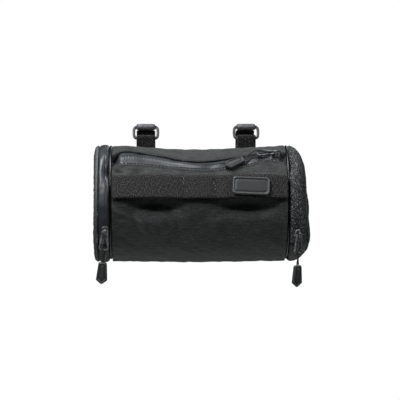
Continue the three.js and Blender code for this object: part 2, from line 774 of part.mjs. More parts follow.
// The cord: a loop from the tab, over the puller's lower wire on one side, through the puller
// and back past the wire on the other side
function cordGeometry(puller, tab) {
  const beside = pullerThickness / 2 + gap + cordDiameter / 2;
  const strand = cordDiameter / 2 + gap / 2;
  const spread = 1.9;
  const hitchHeight = 10.5;
  const half = [
    [strand * 1.1, beside * 0.7, -pullerDrop - 4],
    [spread, beside, -pullerDrop],
    [spread * 0.7, beside * 0.85, -pullerDrop + 0.55 * hitchHeight],
  ];
  const inPuller = [
    ...half.map(([x, out, up]) => [-x, up, out]),
    [0, -pullerDrop + hitchHeight, 0],
    ...half.map(([x, out, up]) => [x, up, -out]).reverse(),
  ];
  const points = inPuller.map((point) => puller.localToWorld(new THREE.Vector3(...point)));
  points.unshift(tab.localToWorld(new THREE.Vector3(-strand, gap, 0)));
  points.push(tab.localToWorld(new THREE.Vector3(strand, gap, 0)));
  const section = new THREE.Shape(
    arcPoints(new THREE.Vector2(0, 0), cordDiameter / 2, 0, 300, 60));
  return new THREE.ExtrudeGeometry(section, {
    steps: 20,
    bevelEnabled: false,
    extrudePath: new THREE.CatmullRomCurve3(points, false, 'centripetal'),
  });
}

function addPull(name, sliderFrame, swing, lean, tabFrame) {
  bag.add(sliderFrame);
  addPiece(sliderFrame, `${name}_slider`, sliderGeometry(), 'metal');
  const puller = addPiece(sliderFrame, `${name}_puller`, pullerGeometry(), 'metal');
  puller.rotation.set(swing, 0, lean);
  const holder = tabFrame ?? new THREE.Group();
  if (!tabFrame) {
    holder.position.y = -pullerDrop - cordReach;
    puller.add(holder);
  } else {
    bag.add(holder);
  }
  const tab = addPiece(holder, `${name}_tab`, tabGeometry(), 'rubber');
  bag.updateMatrixWorld(true);
  addPiece(bag, `${name}_cord`, cordGeometry(puller, tab), 'cord');
}

// Side pulls hang plumb from their sliders, turned the way the end's surface faces there
for (const end of ['left', 'right']) {
  const angle = sideSliderAngle[end];
  const last = lengthAtReach(end, angle, zipReach[end]);
  const length = lerp(seamGap, last - gap, sideSliderAcross[end]);
  const seat = (height) => endPoint(end, angle, length, height, bandPuff);
  const normal = seat(1).sub(seat(0)).normalize();
  const frame = new THREE.Group();
  frame.position.copy(seat(gap)).addScaledVector(normal, holeHeight);
  const pitch = Math.acos(normal.z);
  frame.rotation.set(pitch, 0, Math.atan2(normal.x, -normal.y), 'ZXY');
  addPull(`${end}_pull`, frame, Math.PI / 2 - pitch, rad(sidePullLean[end]), null);
}

// The top pull lies along the zip, with its tab turned down across the tape
const topAngle = readAlong(topZipLine, 'teeth', topSliderPlace);
const topFrame = new THREE.Group();
topFrame.position.copy(panelPoint(topSliderPlace, topAngle, gap + holeHeight));
const topNormal = outward(topAngle);
const acrossTop = outward(topAngle + 90);
topFrame.setRotationFromMatrix(new THREE.Matrix4().makeBasis(
  acrossTop, new THREE.Vector3(1, 0, 0), topNormal));
const topTabFrame = new THREE.Group();
const tabTop = new THREE.Vector3(0, tabLength / 2, 0);
topTabFrame.rotation.set(rad(topTabAngle), 0, rad(topTabTurn - 90));
tabTop.applyEuler(topTabFrame.rotation);
topTabFrame.position.copy(panelPoint(topTabPlace, topTabAngle, tabThickness / 2 + 2 * gap)).add(tabTop);
addPull('top_pull', topFrame, rad(topPullerTilt), 0, topTabFrame);

export default bag;
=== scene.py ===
"""A barrel-shaped handlebar bag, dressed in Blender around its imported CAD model."""
import math

import bpy
import numpy as np
from mathutils import Matrix, Vector


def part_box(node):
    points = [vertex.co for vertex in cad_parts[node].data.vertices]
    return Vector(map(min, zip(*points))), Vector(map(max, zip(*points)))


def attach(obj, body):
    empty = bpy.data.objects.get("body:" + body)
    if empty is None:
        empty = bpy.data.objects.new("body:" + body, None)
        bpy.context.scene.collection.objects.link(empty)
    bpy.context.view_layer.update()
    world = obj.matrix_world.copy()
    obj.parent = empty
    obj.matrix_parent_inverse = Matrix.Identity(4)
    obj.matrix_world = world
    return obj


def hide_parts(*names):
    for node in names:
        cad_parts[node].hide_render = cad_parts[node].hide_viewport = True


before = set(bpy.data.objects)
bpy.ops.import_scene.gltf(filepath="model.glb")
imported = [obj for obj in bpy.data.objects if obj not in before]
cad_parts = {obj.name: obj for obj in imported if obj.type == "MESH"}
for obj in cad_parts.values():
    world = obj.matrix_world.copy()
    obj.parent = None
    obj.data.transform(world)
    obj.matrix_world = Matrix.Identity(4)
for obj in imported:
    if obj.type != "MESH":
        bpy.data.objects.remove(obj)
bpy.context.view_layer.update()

mm = 0.001
scene = bpy.context.scene

# The view and the room. The bag hangs over a plain pale floor in a white studio and is seen from
# a little above. A broad soft light stands overhead, weaker ones in front, on both sides and
# behind, and a faint one low in front.
camera_distance = 2.0
camera_turn = math.radians(-1.5)
camera_rise = math.radians(5)
camera_lens = 173.1
photo_pixel = 1.04 * mm
photo_centre = 200
barrel_pixel = (197, 203.4)

piping_low, piping_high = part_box("left_piping")
barrel_y = (piping_low.y + piping_high.y) / 2
barrel_z = (piping_low.z + piping_high.z) / 2

away = Vector((math.sin(camera_turn) * math.cos(camera_rise),
               -math.cos(camera_turn) * math.cos(camera_rise),
               math.sin(camera_rise)))
camera_turned = away.to_track_quat("Z", "Y")
aim = Vector((0, barrel_y, barrel_z))
aim += camera_turned @ Vector((1, 0, 0)) * (photo_centre - barrel_pixel[0]) * photo_pixel
aim += camera_turned @ Vector((0, 1, 0)) * (barrel_pixel[1] - photo_centre) * photo_pixel
camera = bpy.data.objects.new("camera", bpy.data.cameras.new("camera"))
camera.data.lens = camera_lens
camera.location = aim + away * camera_distance
camera.rotation_euler = camera_turned.to_euler()
scene.collection.objects.link(camera)
scene.camera = camera
scene.view_settings.view_transform = "Standard"


def linear(hex_colour):
    """An sRGB hex colour as linear red, green, blue and alpha."""
    channels = []
    for start in (0, 2, 4):
        value = int(hex_colour[start:start + 2], 16) / 255
        low = value <= 0.04045
        channels.append(value / 12.92 if low else ((value + 0.055) / 1.055) ** 2.4)
    return (*channels, 1.0)


def add_node(tree, kind, inputs=None, **settings):
    """Adds one node. An input takes a plain value, a socket, or a node for its first output."""
    node = tree.nodes.new("ShaderNode" + kind)
    for name, value in settings.items():
        setattr(node, name, value)
    for name, value in (inputs or {}).items():
        if isinstance(value, bpy.types.Node):
            value = value.outputs[0]
        if isinstance(value, bpy.types.NodeSocket):
            tree.links.new(value, node.inputs[name])
        else:
            node.inputs[name].default_value = value
    return node


# The white wall is only seen. The light that it gives the bag is much weaker.
room_strength = 0.012
wall_strength = 1.02
world = bpy.data.worlds.new("white studio")
world.use_nodes = True
tree = world.node_tree
tree.nodes.clear()
light_path = add_node(tree, "LightPath")
room_light, white_wall = [
    add_node(tree, "Background", {"Color": linear("ffffff"), "Strength": strength})
    for strength in (room_strength, wall_strength)]
room = add_node(tree, "MixShader", {
    0: light_path.outputs["Is Camera Ray"], 1: room_light, 2: white_wall})
add_node(tree, "OutputWorld", {"Surface": room})
scene.world = world

# Each light's name, place, size and watts
studio_lights = [
    ("overhead light", (-0.4, -0.2, 1.2), 0.6, 17),
    ("high front light", (-0.55, -0.85, 0.85), 0.2, 8),
    ("left light", (-1.3, -0.7, 0.5), 0.4, 3.5),
    ("right light", (1.2, -0.6, 0.8), 0.4, 8),
    ("back light", (0.5, 1.4, 0.6), 0.6, 2),
    ("low front light", (-0.1, -1.6, -0.1), 0.4, 0.35),
]
for name, place, size, watts in studio_lights:
    light = bpy.data.objects.new(name, bpy.data.lights.new(name, "AREA"))
    light.data.size = size
    light.data.energy = watts
    light.location = place
    light.rotation_euler = (Vector(place) - aim).to_track_quat("Z", "Y").to_euler()
    scene.collection.objects.link(light)


def open_material(name, flat=True):
    """An empty material, its tree, and each point's place on the flat cloth or on the piece."""
    material = bpy.data.materials.new(name)
    material.use_nodes = True
    tree = material.node_tree
    tree.nodes.clear()
    if flat:
        return material, tree, add_node(tree, "UVMap", uv_map="flat_cloth")
    return material, tree, add_node(tree, "TexCoord").outputs["Object"]


def close_material(tree, tone, dark, light, surface, relief=None):
    """Joins a pattern's tone, as colour, and a relief to the material's shader.

    Dark and light each hold a colour and the tone it stands for, the surface holds the
    shader's other inputs, and the relief holds a pattern, its strength and its depth.
    """
    colour = add_node(tree, "ValToRGB", {"Fac": tone})
    for stop, (hex_colour, position) in zip(colour.color_ramp.elements, (dark, light)):
        stop.position = position
        stop.color = linear(hex_colour)
    surface = {"Base Color": colour, **surface}
    if relief:
        surface["Normal"] = add_node(tree, "Bump", {
            "Height": relief[0], "Strength": relief[1], "Distance": relief[2]})
    shader = add_node(tree, "BsdfPrincipled", surface)
    add_node(tree, "OutputMaterial", {"Surface": shader})


def grained_material(name, noise, dark, light, surface, relief=None, flat=True):
    """A material with one noise pattern that sets both its colour and its relief."""
    material, tree, place = open_material(name, flat)
    grain = add_node(tree, "TexNoise", {"Vector": place, **noise})
    close_material(tree, grain, dark, light, surface, relief and (grain, *relief))
    return material


# The floor. A round board stands free, 700 mm below the handlebar, and nothing rests on it.
# Painted board: matt white, with the faint mottle of a rolled coat, about 33 mm wide.
floor_drop = 0.7
floor_radius = 0.62
floor_sides = 128
floor_thickness = 0.02
bpy.ops.mesh.primitive_cylinder_add(
    vertices=floor_sides, radius=floor_radius, depth=floor_thickness,
    location=(0, 0, -floor_drop - floor_thickness / 2))
floor = bpy.context.object
floor.name = "floor"
floor.data.materials.append(grained_material(
    "painted_board", {"Scale": 0.03 / mm}, ("f6f6f6", 0), ("fcfcfc", 1), {"Roughness": 0.9}, flat=False))

# The main cloth. One panel of coated nylon runs from the zip's lower seam down the front,
# under the bag and up the back to the zip's upper edge. Its cut edges are turned in, and it
# sags and creases because only the two round ends hold it out.
barrel_radius = 59.8 * mm
panel_length = 181 * mm
panel_offset = 1.5 * mm
piping_thickness = 2.4 * mm
piece_gap = 0.3 * mm
left_seam = panel_offset - panel_length / 2
right_seam = left_seam + panel_length
seam_margin = (piping_thickness / 2 + piece_gap) / panel_length
top_sag = 3.9 * mm
top_sag_middle = 8
top_sag_spread = 62
top_sag_power = 1.4
dent_taper = 12
crease_end = 0.35
crease_lip = 0.45
seam_crowding = 0.6

# Share of the panel's length, then degrees from the top where the zip tape starts, where its
# teeth run and where its lower seam lies
top_zip_line = np.array([
    (0, 31, 35, 50),
    (0.02, 27.5, 33.5, 46.5),
    (0.07, 22, 31, 43.6),
    (0.16, 22.6, 30.6, 43),
    (0.27, 26.6, 32.8, 44),
    (0.4, 33.6, 38, 47),
    (0.5, 36, 41.4, 48.6),
    (0.6, 34, 40, 48),
    (0.77, 27, 33.6, 43.4),
    (0.91, 21.4, 30, 38),
    (0.965, 21.4, 30.5, 41.5),
    (1, 24, 34, 48),
])
tape_start, teeth, tape_seam = 1, 2, 3

# Dents and swellings: share of the length, its reach, degrees, their spread, share of radius
cloth_dents = [
    (0.24, 0.13, 88, 9, 0.036),
    (0.76, 0.17, 87, 9, 0.038),
    (0.18, 0.075, 104, 9, -0.05),
    (0.36, 0.035, 100, 10, 0.022),
    (0.05, 0.025, 53, 4.5, 0.042),
    (0.16, 0.03, 53, 4.5, 0.045),
    (0.6, 0.25, 135, 22, -0.016),
    (0.5, 0.3, 205, 30, 0.02),
    (0.27, 0.12, 89.5, 7.5, 0.14),
    (0.77, 0.15, 90, 8, 0.14),
    (0.5, 0.32, 180, 38, -0.026),
    (0.09, 0.09, 4, 42, -0.017),
]

# Creases: from one share and angle to another, then their half-width and depth in mm
cloth_creases = [
    (0.335, 92, 0.39, 113, 3, 1.8),
    (0.15, 97, 0.21, 117, 2.6, -1.2),
    (0.19, 95, 0.25, 112, 2.2, -0.7),
    (0.01, 90, 0.07, 97, 1.8, -0.6),
    (0.02, 98, 0.1, 101, 2.2, 0.9),
    (0.82, 55, 0.985, 57.5, 1.5, -0.6),
    (0.86, 59, 0.99, 60.5, 1.6, 0.5),
    (0.955, 2, 0.985, 37, 1.8, 0.8),
    (0.012, 51, 0.05, 54, 2.4, 1),
    (0.03, 60, 0.12, 62, 2, 0.4),
    (0.55, 100, 0.66, 96, 2.6, 0.5),
    (0.72, 112, 0.9, 104, 4, 0.7),
    (0.88, 118, 0.99, 122, 3, 0.6),
    (0.25, 12, 0.45, 20, 5, 0.7),
    (0.5, 22, 0.72, 10, 4.5, 0.6),
    (0.1, -30, 0.35, -18, 6, 0.8),
    (0.62, -16, 0.9, -34, 6, 0.8),
    (0.2, 205, 0.45, 196, 5, 0.8),
    (0.6, 190, 0.85, 204, 5, 0.8),
    (0.12, 240, 0.3, 252, 5, 0.7),
    (0.7, 250, 0.88, 236, 5, 0.7),
]


def zip_line(along, column):
    """One column of the top zip's line, read smoothly between its rows."""
    places = top_zip_line[:, 0]
    values = top_zip_line[:, column]
    last = len(places) - 1
    rows = np.arange(last + 1)
    before = np.maximum(rows - 1, 0)
    after = np.minimum(rows + 1, last)
    slopes = (values[after] - values[before]) / (places[after] - places[before])
    i = np.clip(np.searchsorted(places, along, side="left") - 1, 0, last - 1)
    span = places[i + 1] - places[i]
    t = np.clip((along - places[i]) / span, 0, 1)
    return ((2 * t**3 - 3 * t**2 + 1) * values[i] + (t**3 - 2 * t**2 + t) * span * slopes[i]
            + (3 * t**2 - 2 * t**3) * values[i + 1] + (t**3 - t**2) * span * slopes[i + 1])


def hump(distance, reach):
    return np.exp(-(distance / reach) ** 2)


def turn_between(a, b):
    return np.mod(a - b + 180, 360) - 180


def round_barrel(angle):
    """The length round the barrel that some degrees cover."""
    return np.radians(angle) * barrel_radius


def outward(angle):
    """The way straight out from the barrel's middle line, at degrees from the top forwards."""
    turn = np.radians(angle)
    return np.stack([np.zeros_like(turn), -np.sin(turn), np.cos(turn)], axis=-1)


def on_barrel(x, angle, radius):
    x, angle, radius = np.broadcast_arrays(x, angle, radius)
    points = outward(angle) * radius[..., None] + np.array([0, barrel_y, barrel_z])
    points[..., 0] = x
    return points


def uneven(across, along, wavelength, seed):
    """A smooth uneven wave of about -1 to 1, the same in every run."""
    chance = np.random.default_rng(seed)
    wave_count = 16
    shortest, longest = 0.7, 1.6
    total = 0
    for _ in range(wave_count):
        turn, start = chance.uniform(0, 2 * math.pi, 2)
        steps = 2 * math.pi / (wavelength * chance.uniform(shortest, longest))
        total = total + np.sin(steps * (across * math.cos(turn) + along * math.sin(turn)) + start)
    return total / math.sqrt(wave_count)


def panel_radius(along, angle):
    """The barrel's radius with its sag, dents and swellings."""
    sag_shape = np.maximum(np.sin(np.pi * np.clip(along, 0, 1)), 0) ** top_sag_power
    radius = barrel_radius - top_sag * sag_shape * hump(
        turn_between(angle, top_sag_middle), top_sag_spread)
    taper = np.clip(dent_taper * np.minimum(along, 1 - along), 0, 1)
    for place, reach, middle, spread, depth in cloth_dents:
        radius = radius - taper * barrel_radius * depth * hump(along - place, reach) * hump(
            turn_between(angle, middle), spread)
    return radius


def crease_depth(along, angle):
    """How deep the small creases are, each a soft furrow with a lip on both sides."""
    depth = 0
    for along_a, angle_a, along_b, angle_b, width, deepest in cloth_creases:
        x = (along - along_a) * panel_length
        y = round_barrel(turn_between(angle, angle_a))
        run_x = (along_b - along_a) * panel_length
        run_y = round_barrel(angle_b - angle_a)
        share = np.clip((x * run_x + y * run_y) / (run_x**2 + run_y**2), 0, 1)
        away_from = np.hypot(x - share * run_x, y - share * run_y)
        strength = crease_end + (1 - crease_end) * np.sin(np.pi * share)
        depth = depth + deepest * mm * strength * (
            hump(away_from, width * mm) - crease_lip * hump(away_from - 2 * width * mm, width * mm))
    return depth


def pair(across, along):
    """Two measures that meet at each point, as places on the flat cloth."""
    return np.stack(np.broadcast_arrays(across, along), axis=-1)


def skin(name, points, flat=None, turned_over=False, ring=False, loop=False, caps=False):
    """A smooth mesh over rows of points.

    A ring joins each row's end to its start, a loop joins the last row to the first, and caps
    close the first and last rows. The flat places, in metres on the cut cloth, are its UVs.
    """
    index = np.arange(points[..., 0].size).reshape(points.shape[:-1])
    if ring:
        index = np.concatenate([index, index[..., :1]], axis=-1)
    if loop:
        index = np.concatenate([index, index[:1]])
    corners = [index[..., :-1, :-1], index[..., :-1, 1:], index[..., 1:, 1:], index[..., 1:, :-1]]
    if turned_over:
        corners.reverse()
    faces = np.stack(corners, axis=-1).reshape(-1, 4).tolist()
    if caps:
        faces += [index[0, -2::-1].tolist(), index[-1, :-1].tolist()]
    mesh = bpy.data.meshes.new(name)
    mesh.from_pydata(points.reshape(-1, 3).tolist(), [], faces)
    mesh.polygons.foreach_set("use_smooth", [True] * len(mesh.polygons))
    if flat is not None:
        at_corners = np.zeros(len(mesh.loops), dtype=np.int64)
        mesh.loops.foreach_get("vertex_index", at_corners)
        places = mesh.uv_layers.new(name="flat_cloth")
        places.data.foreach_set("uv", flat.reshape(-1, 2)[at_corners].ravel())
    piece = bpy.data.objects.new(name, mesh)
    scene.collection.objects.link(piece)
    return piece


def dense_ends(count, crowding):
    """Shares from 0 to 1 that lie closer together at both ends."""
    even = np.linspace(0, 1, count)
    return even - crowding * np.sin(2 * np.pi * even) / (2 * np.pi)


def between_seams(count):
    """Shares of the panel's length from one side seam to the other, closest at the seams."""
    return seam_margin + (1 - 2 * seam_margin) * dense_ends(count, seam_crowding)[None, :]


cloth_rows = 330
cloth_columns = 270
edge_crowding = 0.35
turn_in = 2.6 * mm
turn_in_bulge = 0.5 * mm
turn_in_shares = 0.3, 0.7, 1.0
seam_valley = 2.0 * mm
seam_valley_reach = 1.2 * mm
pucker_length = 8.5 * mm
pucker_height = 0.34 * mm
pucker_reach = 11 * mm
side_shift = 0.4
zip_fold_lift = 0.7 * mm
lower_fold_lift = 0.42 * mm
zip_fold_reach = 1.5 * mm
broad_wave = 0.22 * mm
broad_wave_length = 21 * mm
fine_wave = 0.1 * mm
fine_wave_length = 7 * mm
left_hollow, left_hollow_reach = 8.5 * mm, 3.4 * mm
right_hollow, right_hollow_reach = 7.0 * mm, 3.2 * mm
hollow_inset = 4.4 * mm
turn_in_per_hollow = 1.1


def end_hollow(x):
    """How deep the top zip's ends sink in beside the piping."""
    return (left_hollow * hump(x - left_seam - hollow_inset, left_hollow_reach)
            + right_hollow * hump(right_seam - hollow_inset - x, right_hollow_reach))


along = between_seams(cloth_columns)
seam_line = zip_line(along, tape_seam)
start_line = zip_line(along, tape_start) + 360
angle = seam_line + (start_line - seam_line) * dense_ends(cloth_rows, edge_crowding)[:, None]
from_side = np.minimum(along, 1 - along) * panel_length
ripple = uneven(round_barrel(angle), np.sign(along - 0.5) * side_shift, pucker_length, seed=11)
radius = panel_radius(along, angle) - crease_depth(along, angle)
radius += pucker_height * ripple * np.exp(-from_side / pucker_reach)
radius -= seam_valley * hump(from_side, seam_valley_reach)
radius += zip_fold_lift * hump(round_barrel(start_line - angle), zip_fold_reach)
radius += lower_fold_lift * hump(round_barrel(angle - seam_line), zip_fold_reach)
radius += broad_wave * uneven(along * panel_length, round_barrel(angle), broad_wave_length, seed=5)
radius += fine_wave * uneven(along * panel_length, round_barrel(angle), fine_wave_length, seed=6)
deepest = turn_in + turn_in_per_hollow * end_hollow(left_seam + panel_length * along)
rows = [(radius, angle)]
for share in turn_in_shares:
    sideways = math.degrees(turn_in_bulge * math.sin(math.pi * share) / barrel_radius)
    rows.insert(0, (radius[:1] - deepest * share, angle[:1] - sideways))
    rows.append((radius[-1:] - deepest * share, angle[-1:] + sideways))
radius = np.vstack([row[0] for row in rows])
angle = np.vstack([row[1] for row in rows])
x = left_seam + panel_length * np.broadcast_to(along, angle.shape)
main_cloth = skin("main_cloth", on_barrel(x, angle, radius), pair(x, round_barrel(angle)), turned_over=True)

# Coated nylon: a plain weave of thick and thin threads under a matt coat. The threads are
# about 0.5 mm, so the ribs are drawn at 1.8 mm to show, 9 mm long, with a 1.5 mm grain over
# them and shaded patches 18 mm wide.
coated_nylon, tree, place = open_material("coated_nylon_weave")
rib_places = add_node(tree, "Mapping", {
    "Vector": place, "Scale": (0.11 / mm, 0.56 / mm, 1)})
grain_places = add_node(tree, "Mapping", {
    "Vector": place, "Scale": (0.62 / mm, 0.7 / mm, 1)})
ribs = add_node(tree, "TexNoise", {
    "Vector": rib_places, "Scale": 1.0, "Detail": 3.0, "Roughness": 0.65})
grain = add_node(tree, "TexNoise", {
    "Vector": grain_places, "Scale": 1.0, "Detail": 2.0, "Roughness": 0.6})
patches = add_node(tree, "TexNoise", {"Vector": place, "Scale": 0.055 / mm, "Detail": 3.0})
weave = add_node(tree, "Mix", {"Factor": 0.5, "A": ribs, "B": grain}, data_type="FLOAT")
tone = add_node(tree, "Math", {0: patches, 1: 0.25, 2: weave}, operation="MULTIPLY_ADD")
close_material(tree, tone, ("0f1112", 0.52), ("3a3f3f", 0.76), {
    "Roughness": 0.7, "Specular IOR Level": 0.42, "Sheen Weight": 0.12, "Sheen Roughness": 0.5},
    relief=(weave, 1.0, 1.1 * mm))


def fit(piece, material, slot_name, *nodes):
    """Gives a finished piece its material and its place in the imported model."""
    piece.data.materials.append(material)
    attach(piece, "root")
    if nodes:
        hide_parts(*nodes)


fit(main_cloth, coated_nylon, "body_cloth", "body_shell")

# Stitches. Bonded nylon thread, 0.5 mm thick, is sewn through each seam by a lockstitch
# machine. Every stitch stands a little proud of the cloth and dives into it at both ends.
thread_thickness = 0.55 * mm
stitch_pitch = 2.7 * mm
stitch_share = 0.74
stitch_rise = 0.22 * mm
stitch_rings = np.array([0.03, 0.62, 0.94, 1.0, 0.94, 0.62, 0.03])
stitch_sides = 6

# Bonded nylon: twisted, waxed thread, so it glints a little more than the cloth round it. Its
# twist is 0.55 mm long.
bonded_nylon = grained_material(
    "bonded_nylon_thread", {"Scale": 1.8 / mm, "Detail": 1.0}, ("17191a", 0), ("3c4041", 1),
    {"Roughness": 0.5}, relief=(0.5, 0.15 * mm), flat=False)


def distances(path):
    """How far along a path each of its points is."""
    return np.concatenate([[0], np.cumsum(np.linalg.norm(np.diff(path, axis=0), axis=1))])


def read_at(places, values, at):
    """Rows of values, each known at its place, read at other places."""
    return np.stack([np.interp(at, places, column) for column in values.T], axis=-1)


def unit(vectors):
    return vectors / np.linalg.norm(vectors, axis=-1, keepdims=True)


def round_section(turn, first, second):
    """The ways out from a middle line, round a section with these two half-widths."""
    return np.cos(turn)[:, None] * first[..., None, :] + np.sin(turn)[:, None] * second[..., None, :]


def sew(name, path, normals, pitch=stitch_pitch, thread=bonded_nylon):
    """One seam's stitches along a path of points, lying on the side that the normals show."""
    run = distances(path)
    stitch_count = max(1, int(run[-1] / pitch))
    pitch = run[-1] / stitch_count
    ring_share = np.linspace(0, 1, len(stitch_rings))
    starts = (np.arange(stitch_count) + (1 - stitch_share) / 2) * pitch
    at = starts[:, None] + ring_share * stitch_share * pitch
    step = 0.2 * mm
    tiny = 1e-12
    forward = unit(read_at(run, path, at + step) - read_at(run, path, at - step) + tiny)
    up = read_at(run, normals, at)
    up = unit(up - forward * np.sum(up * forward, axis=-1, keepdims=True))
    middle = read_at(run, path, at) + up * (stitch_rise * np.sin(np.pi * ring_share))[None, :, None]
    turn = 2 * np.pi * np.arange(stitch_sides) / stitch_sides
    size = (stitch_rings * thread_thickness / 2)[None, :, None, None]
    points = middle[:, :, None] + size * round_section(turn, np.cross(forward, up), up)
    fit(skin(name, points, ring=True), thread, "seam_trim")


# The top zip. Its two tapes of coated polyester meet over the hidden coil in a line that
# wanders across the top, and a double-needle machine sews them to the main cloth.
tape_rows = 60
tape_columns = 300
tape_seat = 0.9 * mm
tape_edge_gap = 0.3
coil_reach = 2.6 * mm
coil_lift = 0.6 * mm
coil_pitch = 2.6 * mm
coil_show = 0.07 * mm
coil_show_reach = 3.9 * mm
meeting_depth = 1.2 * mm
meeting_reach = 0.5 * mm
needle_pitch = 3.6 * mm
stitch_furrow = 1.3 * mm
stitch_furrow_reach = 0.55 * mm
furrow_inset = 2.4 * mm
upper_roll, upper_roll_reach = 0.9 * mm, 1.3 * mm
lower_roll, lower_roll_reach = 0.5 * mm, 1.2 * mm
tape_wave = 0.32 * mm
tape_wave_length = 17 * mm
tape_wave_stretch = 2
hollow_easing = 0.3

along = between_seams(tape_columns)
across = np.linspace(0, 1, tape_rows)[:, None]
start_line = zip_line(along, tape_start)
seam_line = zip_line(along, tape_seam)
angle = start_line + tape_edge_gap + (seam_line - start_line - 2 * tape_edge_gap) * across
from_teeth = round_barrel(angle - zip_line(along, teeth))
from_seam = round_barrel(seam_line - angle)
x = left_seam + panel_length * along
dash = 0.5 + 0.5 * np.sin(2 * np.pi * x / needle_pitch)
radius = panel_radius(along, angle) - tape_seat
radius += coil_lift * hump(from_teeth, coil_reach)
radius += coil_show * np.cos(2 * np.pi * x / coil_pitch) * hump(from_teeth, coil_show_reach)
radius -= meeting_depth * (0.5 + 0.5 * dash) * hump(from_teeth, meeting_reach)
radius -= stitch_furrow * dash * hump(from_seam - furrow_inset, stitch_furrow_reach)
radius -= upper_roll * hump(round_barrel(angle - start_line), upper_roll_reach)
radius -= lower_roll * hump(from_seam, lower_roll_reach)
radius += tape_wave * uneven(x, from_teeth / tape_wave_stretch, tape_wave_length, seed=21)
radius -= end_hollow(x) * (1 - hollow_easing * across)
top_tape = skin("top_zip_tapes", on_barrel(x, angle, radius), pair(x, round_barrel(angle)),
                turned_over=True)

# Coated polyester: woven tape under a thin smooth film of polyurethane. The film gives satin
# highlights that the ribs of the weave, 0.6 mm apart and drawn at 1.3 mm, break up a little.
coated_polyester, tree, place = open_material("coated_polyester_tape")
rib_places = add_node(tree, "Mapping", {
    "Vector": place, "Scale": (0.78 / mm, 0.12 / mm, 1)})
ribs = add_node(tree, "TexNoise", {"Vector": rib_places, "Scale": 1.0, "Detail": 2.0})
patches = add_node(tree, "TexNoise", {"Vector": place, "Scale": 0.16 / mm, "Detail": 3.0})
gloss = add_node(tree, "MapRange", {"Value": patches, "To Min": 0.33, "To Max": 0.5})
close_material(tree, patches, ("282d30", 0), ("383e43", 1), {
    "Roughness": gloss, "Specular IOR Level": 0.5, "Coat Weight": 0.12, "Coat Roughness": 0.25},
    relief=(ribs, 0.28, 0.25 * mm))
fit(top_tape, coated_polyester, "coated_tape", "top_zip_tape")

# Each seam's name, its line, then how far below that line and how high on the cloth it lies
seam_rows = [
    ("top_zip_lower_stitches", tape_seam, 1.6 * mm, 0.35 * mm),
    ("top_zip_upper_stitches", tape_start, -1.7 * mm, 0.45 * mm),
    ("top_zip_tape_stitches", tape_seam, -2.4 * mm, -0.85 * mm),
]
stitched_from, stitched_to, seam_points = 0.03, 0.97, 260
along = np.linspace(stitched_from, stitched_to, seam_points)
for name, line, offset, height in seam_rows:
    angle = zip_line(along, line) + np.degrees(offset / barrel_radius)
    radius = panel_radius(along, angle) + height
    sew(name, on_barrel(left_seam + panel_length * along, angle, radius), outward(angle))

# The ends. Round each runs a band, a zip over the top and down the front and plain cloth for
# the rest, and a panel closes it. The left one is boxy and the right one puffed and rounded,
# as it was stuffed. Piping fills the inner seam and a woven binding wraps the outer one.
zip_start = -35
zip_end = 129
band_gap = math.degrees(piece_gap / (barrel_radius - 2 * mm))
band_start = piping_thickness / 2 + piece_gap
band_puff = 1.2 * mm
end_shapes = {
    "left": {"side": -1, "seam": left_seam, "reach": 0.285, "drop": (0.17, 0.13), "square": 5,
             "belly": 0.01, "zip_reach": 12.5 * mm, "slider_across": 0.35, "pinch": 50},
    "right": {"side": 1, "seam": right_seam, "reach": 0.345, "drop": (0.66, 0.38), "square": 2.15,
              "belly": 0.06, "zip_reach": 17.2 * mm, "slider_across": 0.28, "pinch": 43},
}
belly_drop = 0.6
belly_spread = 0.4
profile_steps = 120


def end_profile(shape, angle):
    """For each angle, the line from the inner seam round the edge to the end's middle."""
    low = (1 - np.cos(np.radians(angle)))[:, None] / 2
    drop = (shape["drop"][0] + (shape["drop"][1] - shape["drop"][0]) * low) * barrel_radius
    turn = np.linspace(0, np.pi / 2, profile_steps)
    power = 2 / shape["square"]
    reach = shape["reach"] * barrel_radius
    out = np.broadcast_to(reach * np.sin(turn) ** power, (len(angle), profile_steps))
    radius = barrel_radius - drop + drop * np.maximum(np.cos(turn), 0) ** power
    out = np.hstack([out, np.full((len(angle), 1), reach)])
    radius = np.hstack([radius, np.zeros((len(angle), 1))])
    steps = np.hypot(np.diff(out, axis=1), np.diff(radius, axis=1))
    length = np.hstack([np.zeros((len(angle), 1)), np.cumsum(steps, axis=1)])
    return out, radius, length


def band_end(shape, angle):
    """How far along its profile each angle's band ends."""
    out, _, length = end_profile(shape, angle)
    ends = [np.interp(shape["zip_reach"], o[:-1], l[:-1]) for o, l in zip(out, length)]
    return np.array(ends)[:, None]


def end_points(shape, angle, length, height):
    """Points on the end: one row for each angle, length along its profile, height above it."""
    out, radius, total = end_profile(shape, angle)
    step = 0.4 * mm

    def read(values, places):
        return np.array([np.interp(p, t, v) for p, t, v in zip(places, total, values)])

    run_out = read(out, length + step) - read(out, length - step)
    run_in = read(radius, length + step) - read(radius, length - step)
    size = np.hypot(run_out, run_in)
    place_out = read(out, length) - run_in / size * height
    place_radius = read(radius, length) + run_out / size * height
    points = on_barrel(0.0, angle[:, None], place_radius)
    lowered = (points[..., 2] - barrel_z) / barrel_radius
    rise = np.clip(place_out / (shape["reach"] * barrel_radius), 0, 1)
    belly = shape["belly"] * barrel_radius * hump(lowered + belly_drop, belly_spread)
    points[..., 0] = shape["seam"] + shape["side"] * (place_out + belly * (3 - 2 * rise) * rise**2)
    return points


def end_cloth(name, shape, angle, length, height, flat):
    points = end_points(shape, angle, length, height)
    return skin(name, points, flat, turned_over=shape["side"] < 0)


